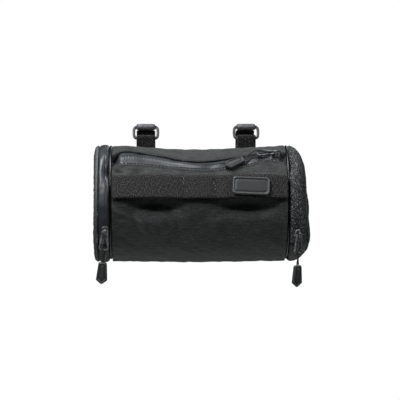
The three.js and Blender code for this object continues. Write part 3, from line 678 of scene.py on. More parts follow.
# Plain woven polyester: the right zip's tape has no film, so it is matt, and its knobbly
# weave catches the light in specks. Its 0.4 mm threads are drawn at about 1.3 mm to show.
woven_polyester, tree, place = open_material("plain_woven_polyester_tape")
knobs = add_node(tree, "TexVoronoi", {"Vector": place, "Scale": 0.76 / mm})
threads = add_node(tree, "TexNoise", {"Vector": place, "Scale": 0.95 / mm, "Detail": 2.0})
weave = add_node(tree, "Math", {0: threads, 1: knobs}, operation="SUBTRACT")
close_material(tree, weave, ("1b1e1e", 0.05), ("a4aaad", 0.5), {"Roughness": 0.62},
               relief=(weave, 1.0, 0.9 * mm))

# The bands. The cloth is domed between its seams, drawn down into them and a little puckered.
# On the zip it rises over the hidden coil, and a pinch folds its inner edge down beside the
# top zip's end. The left band also has an upright fold below the pinch.
inner_valley, inner_valley_reach = 0.9 * mm, 1.0 * mm
outer_valley, outer_valley_reach = 0.8 * mm, 1.2 * mm
band_pucker = 0.22 * mm
band_pucker_length = 9 * mm
band_pucker_reach = 4 * mm
band_wave = 0.2 * mm
band_wave_length = 22 * mm
side_coil_lift, side_coil_reach = 0.22 * mm, 2.4 * mm
side_meeting_depth, side_meeting_reach = 0.35 * mm, 0.4 * mm
side_coil_show = 0.08 * mm
pinch_depth = 7.5 * mm
pinch_reach = 4.6 * mm
pinch_spread = 9
fold_angle = 70
fold_spread = 15
fold_flatness = 0.8
fold_height = 2.6 * mm
fold_inset = 1.2 * mm
fold_reach = 1.9 * mm
joint_valley, joint_valley_reach = 1.6 * mm, 1.0 * mm
stitch_insets = 2.4 * mm, 2.0 * mm
stitch_seat = 0.35 * mm
points_round = 420
band_columns = 56
band_crowding = 0.5
band_seeds = {"left": (31, 35), "right": (32, 36)}

for end, shape in end_shapes.items():
    left = end == "left"
    spans = [("side_zip", zip_start, zip_end), ("gusset", zip_end + band_gap, 360 + zip_start - band_gap)]
    for part, from_angle, to_angle in spans:
        angle = np.linspace(from_angle, to_angle, int(points_round * (to_angle - from_angle) / 360))
        last = band_end(shape, angle)
        across = dense_ends(band_columns, band_crowding)[None, :]
        length = band_start + (last - piece_gap - band_start) * across
        run = round_barrel(angle)[:, None]
        from_inner = length - band_start
        from_outer = last - length
        domed = band_puff * np.sin(np.pi * across)
        inner_edge = inner_valley * hump(from_inner, inner_valley_reach)
        height = domed - inner_edge - outer_valley * hump(from_outer, outer_valley_reach)
        height = height + band_pucker * uneven(run, length, band_pucker_length, band_seeds[end][0]) * (
            np.exp(-from_inner / band_pucker_reach) + np.exp(-from_outer / band_pucker_reach))
        height = height + band_wave * uneven(run, length, band_wave_length, band_seeds[end][1])
        if part == "side_zip":
            from_teeth = from_inner - (last - piece_gap - band_start) * shape["slider_across"]
            height = height + side_coil_lift * hump(from_teeth, side_coil_reach)
            height = height - side_meeting_depth * hump(from_teeth, side_meeting_reach)
            height = height + side_coil_show * np.cos(2 * np.pi * run / coil_pitch) * hump(
                from_teeth, coil_reach)
            at_pinch = hump(angle[:, None] - shape["pinch"], pinch_spread)
            height = height - pinch_depth * at_pinch * hump(from_inner, pinch_reach)
        if part == "side_zip" and left:
            at_fold = hump(angle[:, None] - fold_angle, fold_spread)
            height = height + at_fold * (
                inner_edge - fold_flatness * domed + fold_height * hump(from_inner - fold_inset, fold_reach))
        from_joint = round_barrel(np.minimum(angle - from_angle, to_angle - angle))[:, None]
        height = height - joint_valley * hump(from_joint, joint_valley_reach)
        flat = pair(run, length) if part == "side_zip" else pair(length, run)
        band = end_cloth(f"{end}_{part}_cloth", shape, angle, length, height, flat)
        if part == "gusset":
            fit(band, coated_nylon, "body_cloth", f"{end}_gusset")
        elif left:
            fit(band, coated_polyester, "coated_tape", "left_side_zip")
        else:
            fit(band, woven_polyester, "side_tape", "right_side_zip")
        rows = ("inner", band_start + stitch_insets[0]), ("outer", last - stitch_insets[1])
        for row, at in rows:
            at = np.broadcast_to(at, last.shape)
            path = end_points(shape, angle, at, stitch_seat)[:, 0]
            above = end_points(shape, angle, at, stitch_seat + 1 * mm)[:, 0]
            sew(f"{end}_{part}_{row}_stitches", path, above - path)

# The zip stops. A folded scrap of the main cloth, 5 mm wide, is sewn over each side zip's lower
# end. It follows the dome of the band below it. It is short, so one profile of the end serves it.
stop_start = 131
stop_end = 147
stop_width = 5 * mm
stop_thickness = 1.4 * mm
stop_inset = 1.4 * mm
stop_sunk = 0.4 * mm
stop_rows, stop_columns = 48, 26
stop_end_power, stop_side_power = 12, 8

for end, shape in end_shapes.items():
    angle = np.linspace(stop_start, stop_end, stop_rows)
    last = band_end(shape, angle)
    across = np.linspace(0, 1, stop_columns)[None, :]
    along = np.linspace(0, 1, stop_rows)[:, None]
    length = stop_inset + stop_width * across
    band_share = np.clip((length - band_start) / (last - piece_gap - band_start), 0, 1)
    rounded = 1 - np.abs(2 * across - 1) ** stop_side_power
    rounded = rounded * (1 - np.abs(2 * along - 1) ** stop_end_power)
    height = band_puff * np.sin(np.pi * band_share) + stop_thickness * rounded - stop_sunk
    flat = pair(length, round_barrel(angle)[:, None])
    fit(end_cloth(f"{end}_zip_stop", shape, angle, length, height, flat), coated_nylon, "body_cloth")


def join_loop(piece):
    """Joins the first and last rows of a cloth that closes on itself."""
    merge = piece.modifiers.new("join", "WELD")
    merge.merge_threshold = 0.01 * mm
    seen = piece.evaluated_get(bpy.context.evaluated_depsgraph_get())
    finished = bpy.data.meshes.new_from_object(seen)
    piece.modifiers.clear()
    piece.data = finished


def tube_cloth(name, middle, first, second, sides, run, wave=1):
    """A closed loop of tube: rows of middles, each with the section's two half-widths."""
    turn = np.linspace(0, 2 * np.pi, sides + 1)
    points = middle[:, None] + wave * round_section(turn, first, second)
    girth = np.linalg.norm(first, axis=-1).mean() + np.linalg.norm(second, axis=-1).mean()
    piece = skin(name, points, pair(run[:, None], girth * turn / 2), turned_over=True)
    join_loop(piece)
    return piece


# Piping. The same coated cloth is cut on the bias and drawn tight round a cord, so it is smooth,
# and glossier than the panel. It stands proud at the top and is sunk in its seam elsewhere.
piping_sunk = 3.4 * mm
piping_proud_angle = 12
piping_proud_spread = 26
piping_sides = 14
# The piping's colour is drawn darker than the panel's: painted shade, for the dark seam it lies in.
coated_piping = grained_material(
    "coated_nylon_piping", {"Scale": 0.42 / mm, "Detail": 3.0}, ("111213", 0), ("1e2021", 1),
    {"Roughness": 0.28, "Specular IOR Level": 0.6}, relief=(0.3, 0.3 * mm))
around = np.linspace(0, 360, points_round + 1)
proud = hump(turn_between(around, piping_proud_angle), piping_proud_spread)
for end, shape in end_shapes.items():
    middle = on_barrel(shape["seam"], around, barrel_radius - piping_sunk * (1 - proud))
    sideways = np.broadcast_to([1.0, 0, 0], middle.shape)
    half = piping_thickness / 2
    piping = tube_cloth(f"{end}_piping_cord", middle, sideways * half, outward(around) * half,
                        piping_sides, round_barrel(around))
    fit(piping, coated_piping, "seam_trim", f"{end}_piping")

# The binding. A woven twill tape is folded over the outer seam's raw edges, so its diagonal ribs
# run across the edge like a rope's strands. They are 2.9 mm apart, and their ridges are modelled.
binding_width = 3.6 * mm
binding_thickness = 1.8 * mm
binding_twill = 2.9 * mm
binding_ridge = 0.45 * mm
binding_sides = 16

# Twill: the yarns between the ribs are drawn 1.1 mm wide. Their raised tops are painted pale and the
# hollows between them dark: painted highlight and painted shade on the weave.
woven_twill = grained_material(
    "woven_twill_binding", {"Scale": 0.9 / mm, "Detail": 2.0}, ("151718", 0.3), ("65696b", 0.66),
    {"Roughness": 0.55}, relief=(0.6, 0.3 * mm))
turn = np.linspace(0, 2 * np.pi, binding_sides + 1)
rib_count = round(360 / math.degrees(binding_twill / barrel_radius))
ribs = np.cos(rib_count * np.radians(around)[:, None] - 2 * turn)
wave = 1 + (binding_ridge / (binding_thickness / 2) * ribs)[..., None]
for end, shape in end_shapes.items():
    place = band_end(shape, around) + binding_width / 2 + piece_gap
    sunk = -binding_thickness / 4
    middle = end_points(shape, around, place, sunk)[:, 0]
    beside = end_points(shape, around, place + binding_width / 2, sunk)[:, 0]
    above = end_points(shape, around, place, sunk + binding_thickness / 2)[:, 0]
    binding = tube_cloth(
        f"{end}_binding_tape", middle, unit(beside - middle) * binding_width / 2,
        unit(above - middle) * binding_thickness / 2, binding_sides, round_barrel(around), wave)
    fit(binding, woven_twill, "seam_trim", f"{end}_binding")

# The end panels. A round of the main cloth closes each end. Its edge is drawn into the binding's
# seam with small puckers, and its middle waves a little.
panel_valley, panel_valley_reach = 0.7 * mm, 1.4 * mm
panel_pucker = 0.3 * mm
panel_pucker_length = 8 * mm
panel_pucker_reach = 9 * mm
panel_wave = 0.5 * mm
panel_wave_length = 34 * mm
panel_wave_start = 12 * mm
panel_seeds = {"left": (42, 44), "right": (41, 43)}
panel_rows, panel_columns = 301, 70
rim_crowding = 1.2

for end, shape in end_shapes.items():
    angle = np.linspace(0, 360, panel_rows)
    edge = band_end(shape, angle) + binding_width + 2 * piece_gap
    centre = end_profile(shape, angle)[2][:, -1:]
    length = edge + (centre - edge) * np.linspace(0, 1, panel_columns)[None, :] ** rim_crowding
    from_edge = length - edge
    sine, cosine = np.sin(np.radians(angle))[:, None], np.cos(np.radians(angle))[:, None]
    flat = np.stack([sine * (centre - length), cosine * (centre - length)], axis=-1)
    ripple = uneven(
        sine * barrel_radius, cosine * barrel_radius, panel_pucker_length, panel_seeds[end][0])
    swell = uneven(flat[..., 0], flat[..., 1], panel_wave_length, panel_seeds[end][1])
    height = panel_pucker * ripple * np.exp(-from_edge / panel_pucker_reach)
    height -= panel_valley * hump(from_edge, panel_valley_reach)
    height += panel_wave * swell * np.clip(from_edge / panel_wave_start, 0, 1)
    panel = end_cloth(f"{end}_end_cloth", shape, angle, length, height, flat)
    join_loop(panel)
    fit(panel, coated_nylon, "body_cloth", f"{end}_end_panel")

# The front webbing. A length of 25 mm nylon webbing runs across the front between the side
# seams, which hold its ends. Bar tacks sew it down at two places, so it bows into three loops.
webbing_width = 25 * mm
webbing_thickness = 1.5 * mm
webbing_angle = 69
webbing_bow = 3.2 * mm
bow_per_share = 2.6
bow_power = 2.6
tack_places = [0, 0.409, 0.583, 1]
herringbone_column = 2.3 * mm
herringbone_rib = 1.7 * mm
herringbone_height = 0.3 * mm
rib_share, column_share, sunk_share = 0.75, 0.35, 0.4
webbing_rows, webbing_columns = 620, 76
edge_power = 12


def strip(name, path, width, thickness, across_count, relief=None, across=(-1.0, 0, 0)):
    """A flat woven strip along a path. Across points over its width; relief raises its face."""
    across = np.broadcast_to(across, path.shape)
    up = unit(np.cross(across, np.gradient(path, axis=0)))
    run = distances(path)
    back_count = max(4, across_count // 4)
    place = np.concatenate([np.linspace(-1, 1, across_count), np.linspace(1, -1, back_count)[1:]])
    side = np.concatenate([np.ones(across_count), -np.ones(back_count - 1)])
    rounding = np.sqrt(np.clip(1 - np.abs(place) ** edge_power, 0, 1))
    from_middle = place * width / 2
    height = np.broadcast_to(side * rounding * thickness / 2, (len(path), len(place))).copy()
    if relief is not None:
        height += side * rounding * relief(run[:, None], from_middle[None, :])
    points = path[:, None] + across[:, None] * from_middle[:, None] + up[:, None] * height[..., None]
    piece = skin(name, points, pair(run[:, None], from_middle), turned_over=True)
    join_loop(piece)
    return piece


def webbing_point(along, up, height):
    """A place over the front webbing's line: share of its length, way up it, height on the bag."""
    along, up, height = np.broadcast_arrays(along, up, height)
    bow = np.zeros_like(along, dtype=float)
    for first, second in zip(tack_places, tack_places[1:]):
        share = (along - first) / (second - first)
        highest = webbing_bow * min(1, bow_per_share * (second - first))
        inside = (share >= 0) & (share <= 1)
        bow = np.where(inside, highest * (1 - np.abs(2 * share - 1) ** bow_power), bow)
    x = left_seam + panel_length * (seam_margin + (1 - 2 * seam_margin) * along)
    radius = barrel_radius + piece_gap + bow + height
    return on_barrel(x, webbing_angle, radius) - outward(webbing_angle + 90.0) * up[..., None]


def herringbone(run, place):
    zigzag = np.abs(np.mod(run / herringbone_column, 2) - 1)
    rib = np.cos(2 * np.pi * (place / herringbone_rib + zigzag))
    column = np.abs(np.cos(np.pi * run / herringbone_column))
    return herringbone_height * (rib_share * rib + column_share * column - sunk_share)


# Nylon webbing: thick matt yarns in a herringbone, modelled as ribs 1.7 mm apart, warm black
# with paler crowns where the yarns catch the light. The yarns are drawn 1.1 mm wide.
nylon_webbing = grained_material(
    "nylon_webbing", {"Scale": 0.88 / mm, "Detail": 2.0, "Roughness": 0.7},
    ("0d0d0d", 0.46), ("505050", 0.66), {"Roughness": 0.8, "Specular IOR Level": 0.3},
    relief=(1.0, 0.8 * mm))
path = webbing_point(np.linspace(0, 1, webbing_rows), 0.0, webbing_thickness / 2)
front_webbing = strip("front_webbing", path, webbing_width, webbing_thickness, webbing_columns,
                      herringbone, -outward(webbing_angle + 90.0))
fit(front_webbing, nylon_webbing, "band_webbing", "front_band")

# The bar tacks. Two rows of the same thread, closely packed in a zigzag, hold the webbing down
# between its ends. Pale specks on the thread's highest bumps, here and there, are painted glints.
tack_width = 2.6 * mm
tack_height = 21 * mm
tack_turns = 24
tack_seat = 0.05 * mm
tack_thread = grained_material(
    "bar_tack_thread", {"Scale": 0.62 / mm, "Detail": 2.0}, ("242627", 0.58), ("c9cccd", 0.66),
    {"Roughness": 0.6}, relief=(0.5, 0.2 * mm), flat=False)
turns = np.arange(tack_turns + 1)
for number, place in enumerate(tack_places[1:-1], start=1):
    shift = np.where(turns % 2, 0.5, -0.5) * tack_width / panel_length
    path = webbing_point(
        place + shift, (turns / tack_turns - 0.5) * tack_height, webbing_thickness + tack_seat)
    normals = np.broadcast_to(outward(float(webbing_angle)), path.shape)
    pitch = float(np.linalg.norm(path[1] - path[0]))
    sew(f"front_tack_{number}", path, normals, pitch, tack_thread)

# The badge. A plate of soft rubber is moulded with a raised rim and sewn on the webbing. The
# rim's crest is printed grey, and its face is left bare.
badge_length = 38 * mm
badge_height = 18.7 * mm
badge_place = 0.79
badge_raise = -0.6 * mm
badge_tilt = math.radians(-2.5)
badge_corner = 3.2 * mm

# Layers of the plate and of the print on its rim: how far in from the edge and how high, in mm
badge_layers = [
    (0, 0), (0, 1.9), (0.12, 2.35), (0.45, 2.75), (0.9, 2.9), (1.8, 2.9), (2.1, 2.75), (2.35, 2.3),
    (2.7, 2.15), (3.0, 2.15), (3.3, 2.35), (3.9, 2.55), (4.6, 2.6), (6.5, 2.6), (8.6, 2.6),
]
rim_layers = [(0.95, 2.88), (1.05, 3.0), (1.4, 3.0), (1.5, 2.88)]


def outline_of(corners, corner_steps, count):
    """A closed outline with round corners, each given as (x, y, radius), in even steps."""
    points = []
    for i, (x, y, radius) in enumerate(corners):
        here = np.array([x, y])
        before = unit(np.array(corners[i - 1][:2]) - here)
        after = unit(np.array(corners[(i + 1) % len(corners)][:2]) - here)
        half = math.acos(np.clip(before @ after, -1, 1)) / 2
        middle = here + unit(before + after) * radius / math.sin(half)
        start = here + before * radius / math.tan(half) - middle
        end = here + after * radius / math.tan(half) - middle
        sweep = math.atan2(start[0] * end[1] - start[1] * end[0], start @ end)
        turn = sweep * np.linspace(0, 1, corner_steps)[:, None]
        points.append(middle + start * np.cos(turn) + np.array([-start[1], start[0]]) * np.sin(turn))
    closed = np.vstack(points + [points[0][:1]])
    run = distances(closed)
    return read_at(run, closed, np.linspace(0, run[-1], count, endpoint=False))


def symmetric(*corners):
    """Corners on the right side, from the bottom up, and their mirror images on the left."""
    return [(-x, y, radius) for x, y, radius in corners[:1]] + list(corners) + [
        (-x, y, radius) for x, y, radius in corners[:0:-1]]


def plate(name, outline, layers, place, caps=True):
    """A moulded plate: the outline at each layer's inset and height in mm, set at a place."""
    low, high = outline.min(axis=0), outline.max(axis=0)
    middle, half = (high + low) / 2, (high - low) / 2
    points = np.array([
        np.column_stack([middle + (outline - middle) * (1 - inset * mm / half),
                         np.full(len(outline), height * mm)])
        for inset, height in layers])
    piece = skin(name, points, ring=True, caps=caps)
    piece.data.transform(place)
    return piece


# Moulded rubber: soft PVC with the fine grain of the tool, matt, and a little polished where
# hands rub its edges. The grain is about 0.4 mm and is drawn at 0.8 mm.
moulded_rubber, tree, place = open_material("moulded_soft_rubber", flat=False)
grain = add_node(tree, "TexNoise", {"Vector": place, "Scale": 1.25 / mm, "Detail": 3.0})
patches = add_node(tree, "TexNoise", {"Vector": place, "Scale": 0.18 / mm, "Detail": 2.0})
polish = add_node(tree, "MapRange", {"Value": patches, "To Min": 0.38, "To Max": 0.6})
close_material(tree, grain, ("26292a", 0.25), ("3b3f41", 0.75), {"Roughness": polish},
               relief=(grain, 0.35, 0.25 * mm))

# Printed rubber: the same rubber under a thin grey ink on the rim's crest, worn in patches of
# about 2 mm.
printed_rubber = grained_material(
    "grey_printed_rubber", {"Scale": 0.52 / mm, "Detail": 4.0}, ("3a3d3e", 0.3), ("6c7072", 0.6),
    {"Roughness": 0.5}, flat=False)

badge_seat = webbing_point(badge_place, badge_raise, webbing_thickness + piece_gap).reshape(3)
badge_at = (Matrix.Translation(badge_seat) @ Matrix.Rotation(math.radians(webbing_angle), 4, "X")
            @ Matrix.Rotation(badge_tilt, 4, "Z"))
badge_outline = outline_of(symmetric(
    (badge_length / 2, -badge_height / 2, badge_corner),
    (badge_length / 2, badge_height / 2, badge_corner)), corner_steps=12, count=220)
badge = plate("bare_badge", badge_outline, badge_layers, badge_at)
fit(badge, moulded_rubber, "moulded_rubber", "badge")
badge_rim = plate("badge_rim_print", badge_outline, rim_layers, badge_at, caps=False)
fit(badge_rim, printed_rubber, "moulded_rubber")

# The straps. Each is 20 mm hook-and-loop tape, sewn round its ring's upper bar. It goes over
# the handlebar, under it and behind the webbing on the bag's back, comes up behind the ring's
# lower bar and folds over it, so that its tail hangs in front with its fuzzy loops outside.
bar_radius = 31.8 / 2 * mm
strap_width = 20 * mm
strap_thickness = 1.8 * mm
strap_spacing = 106 * mm
back_webbing_width = 13 * mm
hang_angle = math.radians(44.7)
ring_wire = 2.9 * mm
ring_height = 15.8 * mm
ring_lean = math.radians(28)
ring_bow = 1 * mm
ring_corner = 2.2 * mm
tail_drop = 12.4 * mm
tail_lean = math.radians(7.5)
roll_turn = math.radians(285)
strap_on_bar = bar_radius + piece_gap + strap_thickness / 2
wire_loop = ring_wire / 2 + piece_gap + strap_thickness / 2
foot_angle = math.pi - ring_lean
ring_foot = (strap_on_bar + wire_loop) * np.array([math.cos(foot_angle), math.sin(foot_angle)])
ring_up = np.array([math.sin(ring_lean), math.cos(ring_lean)])
ring_head = ring_foot + ring_up * (ring_height - ring_wire)
tail_from = 0.15
tail_points = 12
arc_spacing = 0.8 * mm
strap_point_spacing = 0.42 * mm
strap_columns = 44
pile_lump, pile_lump_length = 0.16 * mm, 1.7 * mm
pile_tuft, pile_tuft_length = 0.1 * mm, 0.9 * mm


def arc(middle, radius, start, end):
    """Points round a middle in side view, from one angle to another."""
    turn = np.linspace(start, end, max(2, int(abs(end - start) * radius / arc_spacing)))
    return np.stack([middle[0] + radius * np.cos(turn), middle[1] + radius * np.sin(turn)], axis=-1)


def strap_line():
    """The strap's route in side view, as depth and height: its sewn roll and the rest."""
    leave = math.atan2(ring_head[1], ring_head[0]) - math.acos(
        (strap_on_bar - wire_loop) / np.linalg.norm(ring_head))
    to_barrel = -math.pi + hang_angle
    on_bag = barrel_radius + piece_gap + strap_thickness / 2
    slot = (back_webbing_width / 2 + strap_thickness) / on_bag
    slot_points = arc((barrel_y, barrel_z), on_bag, hang_angle - slot, hang_angle + slot)
    mouth = slot_points[0]
    mouth_turn = abs(math.atan2(mouth[1], mouth[0]) - to_barrel)
    touch = math.acos(strap_on_bar / np.linalg.norm(mouth)) + mouth_turn
    tail_top = ring_foot + np.array([-wire_loop, 0])
    tail_way = np.array([-math.sin(tail_lean), -math.cos(tail_lean)])
    parts = [
        arc((0, 0), strap_on_bar, leave, to_barrel + touch),
        slot_points,
        arc((0, 0), strap_on_bar, to_barrel - touch, foot_angle - 2 * math.pi),
        arc(ring_foot, wire_loop, foot_angle - math.pi, math.pi)[1:],
        tail_top + tail_way * (tail_drop * np.linspace(tail_from, 1, tail_points))[:, None],
    ]
    return arc(ring_head, wire_loop, leave + roll_turn, leave), np.vstack(parts)


def smoothed(points, spacing, passes):
    """A line with evenly spaced points and its corners eased."""
    run = distances(points)
    no_step = 1e-7
    keep = np.concatenate([[True], np.diff(run) > no_step])
    even = read_at(run[keep], points[keep], np.linspace(0, run[-1], int(run[-1] / spacing)))
    for _ in range(passes):
        even[1:-1] = (even[:-2] + 2 * even[1:-1] + even[2:]) / 4
    return even


def loop_pile_height(run, place):
    return (pile_lump * uneven(run, place, pile_lump_length, seed=61)
            + pile_tuft * uneven(run, place, pile_tuft_length, seed=62))


# Loop pile: brushed nylon loops about 0.3 mm across that scatter light, so the strap looks
# soft and nearly black with pale specks. The tufts are drawn and modelled about 1 mm wide.
loop_pile = grained_material(
    "brushed_nylon_loop_pile", {"Scale": 0.95 / mm, "Detail": 4.0, "Roughness": 0.8},
    ("060606", 0.56), ("85888d", 0.72), {
        "Roughness": 0.9, "Specular IOR Level": 0.2, "Sheen Weight": 0.25, "Sheen Roughness": 0.4},
    relief=(1.0, 0.8 * mm), flat=False)

# Woven strap back: the plain side of the tape, which shows where it is rolled round the
# ring. It is smooth and satin, with a fine cross rib drawn at 1 mm.
# The smooth back is real, but its grey is drawn much paler than the black strap: painted light, for the
# overhead light that falls on the roll.
strap_back_painted_light, tree, place = open_material("smooth_woven_strap_back")
rib_places = add_node(tree, "Mapping", {"Vector": place, "Scale": (1 / mm, 0.25 / mm, 1)})
ribs = add_node(tree, "TexNoise", {"Vector": rib_places, "Scale": 1.0, "Detail": 2.0})
close_material(tree, ribs, ("3c3d40", 0.3), ("737479", 0.75), {"Roughness": 0.45},
               relief=(ribs, 0.6, 0.3 * mm))

# Acetal: the ring is injection moulded, dark grey and slightly waxy, with a spark-eroded grain
# drawn at 0.6 mm and scuffs about 4 mm long.
moulded_acetal, tree, place = open_material("moulded_acetal", flat=False)
grain = add_node(tree, "TexNoise", {"Vector": place, "Scale": 1.6 / mm, "Detail": 2.0})
scuffs = add_node(tree, "TexNoise", {"Vector": place, "Scale": 0.26 / mm, "Detail": 5.0})
close_material(tree, scuffs, ("2b2d2e", 0.35), ("505355", 0.75), {"Roughness": 0.42},
               relief=(grain, 0.25, 0.12 * mm))


def frame_bar(name, outline, width, thickness, place):
    """A closed frame with a rounded bar: the outline is the middle of the bar."""
    sides, squareness = 16, 0.55
    middle = np.column_stack([outline, np.zeros(len(outline))])
    ahead = unit(np.roll(middle, -1, axis=0) - np.roll(middle, 1, axis=0))
    sideways = np.stack([-ahead[:, 1], ahead[:, 0], np.zeros(len(middle))], axis=-1)
    turn = 2 * np.pi * (np.arange(sides) + 0.5) / sides
    across, deep = [np.sign(wave) * np.abs(wave) ** squareness for wave in (np.cos(turn), np.sin(turn))]
    points = middle[:, None] + sideways[:, None] * (across * width / 2)[:, None]
    points[..., 2] += deep * thickness / 2
    piece = skin(name, points, ring=True, loop=True)
    piece.data.transform(place)
    return piece


half_width = strap_width / 2 + piece_gap + ring_wire / 2
half_height = (ring_height - ring_wire) / 2
ring_outline = outline_of(symmetric(
    (half_width, -half_height, ring_corner), (half_width, half_height, ring_corner)),
    corner_steps=10, count=160)
corner_share = 0.8
on_sides = np.abs(ring_outline[:, 0]) > corner_share * half_width
bow = ring_bow * (1 - (ring_outline[:, 1] / half_height) ** 2)
ring_outline[:, 0] += np.sign(ring_outline[:, 0]) * bow * on_sides
ring_middle = (ring_foot + ring_head) / 2
rolled_end, strap_route = strap_line()
rolled_end = smoothed(rolled_end, strap_point_spacing, passes=2)
strap_route = smoothed(strap_route, strap_point_spacing, passes=6)
for side, middle_x in (("left", -strap_spacing / 2), ("right", strap_spacing / 2)):
    path = np.column_stack([np.full(len(strap_route), middle_x), strap_route])
    strap = strip(f"{side}_loop_strap", path, strap_width, strap_thickness, strap_columns,
                  loop_pile_height)
    fit(strap, loop_pile, "loop_strap", f"{side}_strap")
    path = np.column_stack([np.full(len(rolled_end), middle_x), rolled_end])
    roll = strip(f"{side}_strap_roll", path, strap_width, strap_thickness, strap_columns)
    fit(roll, strap_back_painted_light, "loop_strap")
    ring_at = (Matrix.Translation((middle_x, *ring_middle))
               @ Matrix.Rotation(math.pi / 2 - ring_lean, 4, "X"))
    ring = frame_bar(f"{side}_strap_ring", ring_outline, ring_wire, ring_wire, ring_at)
    fit(ring, moulded_acetal, "ring_plastic", f"{side}_ring")

# The webbing on the back. It is sewn along the bag and lifts over each strap, which threads
# behind it. It is plain nylon webbing of the same herringbone as the front one.
back_margin = 10 * mm
back_thickness = 1.5 * mm
lift_start = 1 * mm
lift_length = 7 * mm
back_rows, back_columns = 480, 40
back_angle = math.degrees(hang_angle) - 90
x = np.linspace(left_seam + back_margin, right_seam - back_margin, back_rows)
from_strap = np.abs(np.abs(x) - strap_spacing / 2) - strap_width / 2
fall = np.clip((from_strap - lift_start) / lift_length, 0, 1)
lift = 1 - fall * fall * (3 - 2 * fall)
radius = panel_radius((x - left_seam) / panel_length, back_angle) * (1 - lift) + barrel_radius * lift
radius += piece_gap * (2 - lift) + lift * (strap_thickness + piece_gap) + back_thickness / 2
back_webbing = strip("back_webbing_strip", on_barrel(x, back_angle, radius), back_webbing_width,
                     back_thickness, back_columns, herringbone, -outward(back_angle + 90.0))
fit(back_webbing, nylon_webbing, "band_webbing", "back_webbing")

# The pulls. Each zip has a slider of lacquered zinc with a bridge, a bell-shaped puller that
# hangs from it, and a loop of braided cord with a moulded rubber tab on its end.
slider_length = 8.4 * mm
slider_width = 6.4 * mm
slider_height = 2.2 * mm
slider_angle = {"left": 110.5, "right": 115}
side_pull_lean = {"left": math.radians(-4.2), "right": math.radians(-2.8)}
bridge_width = 2.2 * mm
bridge_wire = 1.1 * mm
bridge_sunk = 0.9 * mm
puller_length = 20.5 * mm
puller_top = 6.2 * mm
puller_foot = 10.6 * mm
puller_thickness = 1.8 * mm
puller_wire = 1.7 * mm
puller_drop = puller_length - puller_wire
bridge_hole = math.hypot(puller_wire, puller_thickness) + piece_gap
hole_height = slider_height + bridge_hole / 2
cord_thickness = 1.5 * mm
cord_reach = 12.5 * mm
cord_braid = 2.4 * mm
cord_core, plait_height = 0.88, 0.14
cord_sides = 14
cord_spread = 1.9 * mm
cord_tail = 4 * mm
hitch_length = 10.5 * mm
tab_length = 22.8 * mm
tab_width = 11.6 * mm
tab_shoulder = 8.4 * mm
tab_thickness = 4.4 * mm
tab_point = 0.8 * tab_length
top_slider_place = 0.933
top_puller_tilt = math.radians(1.5)
top_tab_place = 0.697
top_tab_angle = 42
top_tab_turn = 29

# Lacquered zinc: die-cast and tumbled, so its edges are round, under black lacquer. Its colour is
# painted grey, paler in patches of about 2 mm: painted highlight, for the light its edges catch.
# The lacquer hides most of the metal's own shine.
lacquered_zinc, tree, place = open_material("black_lacquered_zinc", flat=False)
painted_sheen = add_node(tree, "TexNoise", {"Vector": place, "Scale": 0.42 / mm, "Detail": 4.0})
gloss = add_node(tree, "MapRange", {"Value": painted_sheen, "To Min": 0.25, "To Max": 0.42})
close_material(tree, painted_sheen, ("3c3f42", 0.38), ("9a9ea1", 0.72), {"Metallic": 0.2, "Roughness": gloss})

# Braided polyester: fine matt strands round a core, nearly black. Its plaits are 0.6 mm, and
# are modelled as a criss-cross of ridges 2.4 mm long.
braided_polyester = grained_material(
    "braided_polyester_cord", {"Scale": 2.2 / mm, "Detail": 2.0}, ("0f1010", 0), ("343637", 1),
    {"Roughness": 0.7}, relief=(0.5, 0.2 * mm), flat=False)

slider_outline = outline_of(symmetric(
    (slider_width / 2, -slider_length / 2, 1.3 * mm), (slider_width / 2, slider_length / 2, 2.6 * mm)),
    corner_steps=8, count=96)
bridge_middle = bridge_hole / 2 + bridge_wire / 2
bridge_outline = outline_of(symmetric(
    (bridge_middle, slider_height - hole_height - bridge_sunk, 0.4 * mm),
    (bridge_middle, bridge_middle, 1.1 * mm)), corner_steps=8, count=72)
puller_outline = outline_of(symmetric(
    ((puller_foot - puller_wire) / 2, -puller_drop, 1.9 * mm),
    ((puller_top - puller_wire) / 2, 0, 0.8 * mm)), corner_steps=10, count=150)
tab_outline = outline_of([
    (0, -tab_length, 1.8 * mm), (tab_width / 2, -tab_point, 1.7 * mm), (tab_shoulder / 2, 0, 1.9 * mm),
    (-tab_shoulder / 2, 0, 1.9 * mm), (-tab_width / 2, -tab_point, 1.7 * mm)],
    corner_steps=10, count=180)

# The slider's layers from the tape up, and the tab's from its edge to its front face with a
# groove round it: how far in from the edge, then mm of height and shares of half the thickness
slider_layers = [
    (0.3, 0), (0, 0.25), (0, 0.75), (0.7, 0.9), (0.75, 1.15), (0.05, 1.3), (0, 1.8), (0.15, 2.05),
    (0.5, 2.2), (1.6, 2.2), (2.4, 2.15),
]
tab_front = [
    (0, 0.2), (0.1, 0.35), (0.7, 0.85), (1.1, 1.0), (1.7, 1.0), (2.0, 0.93), (2.3, 0.66),
    (2.7, 0.6), (3.4, 0.6), (3.7, 0.82), (4.3, 0.86), (5.2, 0.86),
]
tab_half = tab_thickness / 2 / mm
tab_layers = [(inset, -share * tab_half) for inset, share in reversed(tab_front)]
tab_layers += [(inset, share * tab_half) for inset, share in tab_front]


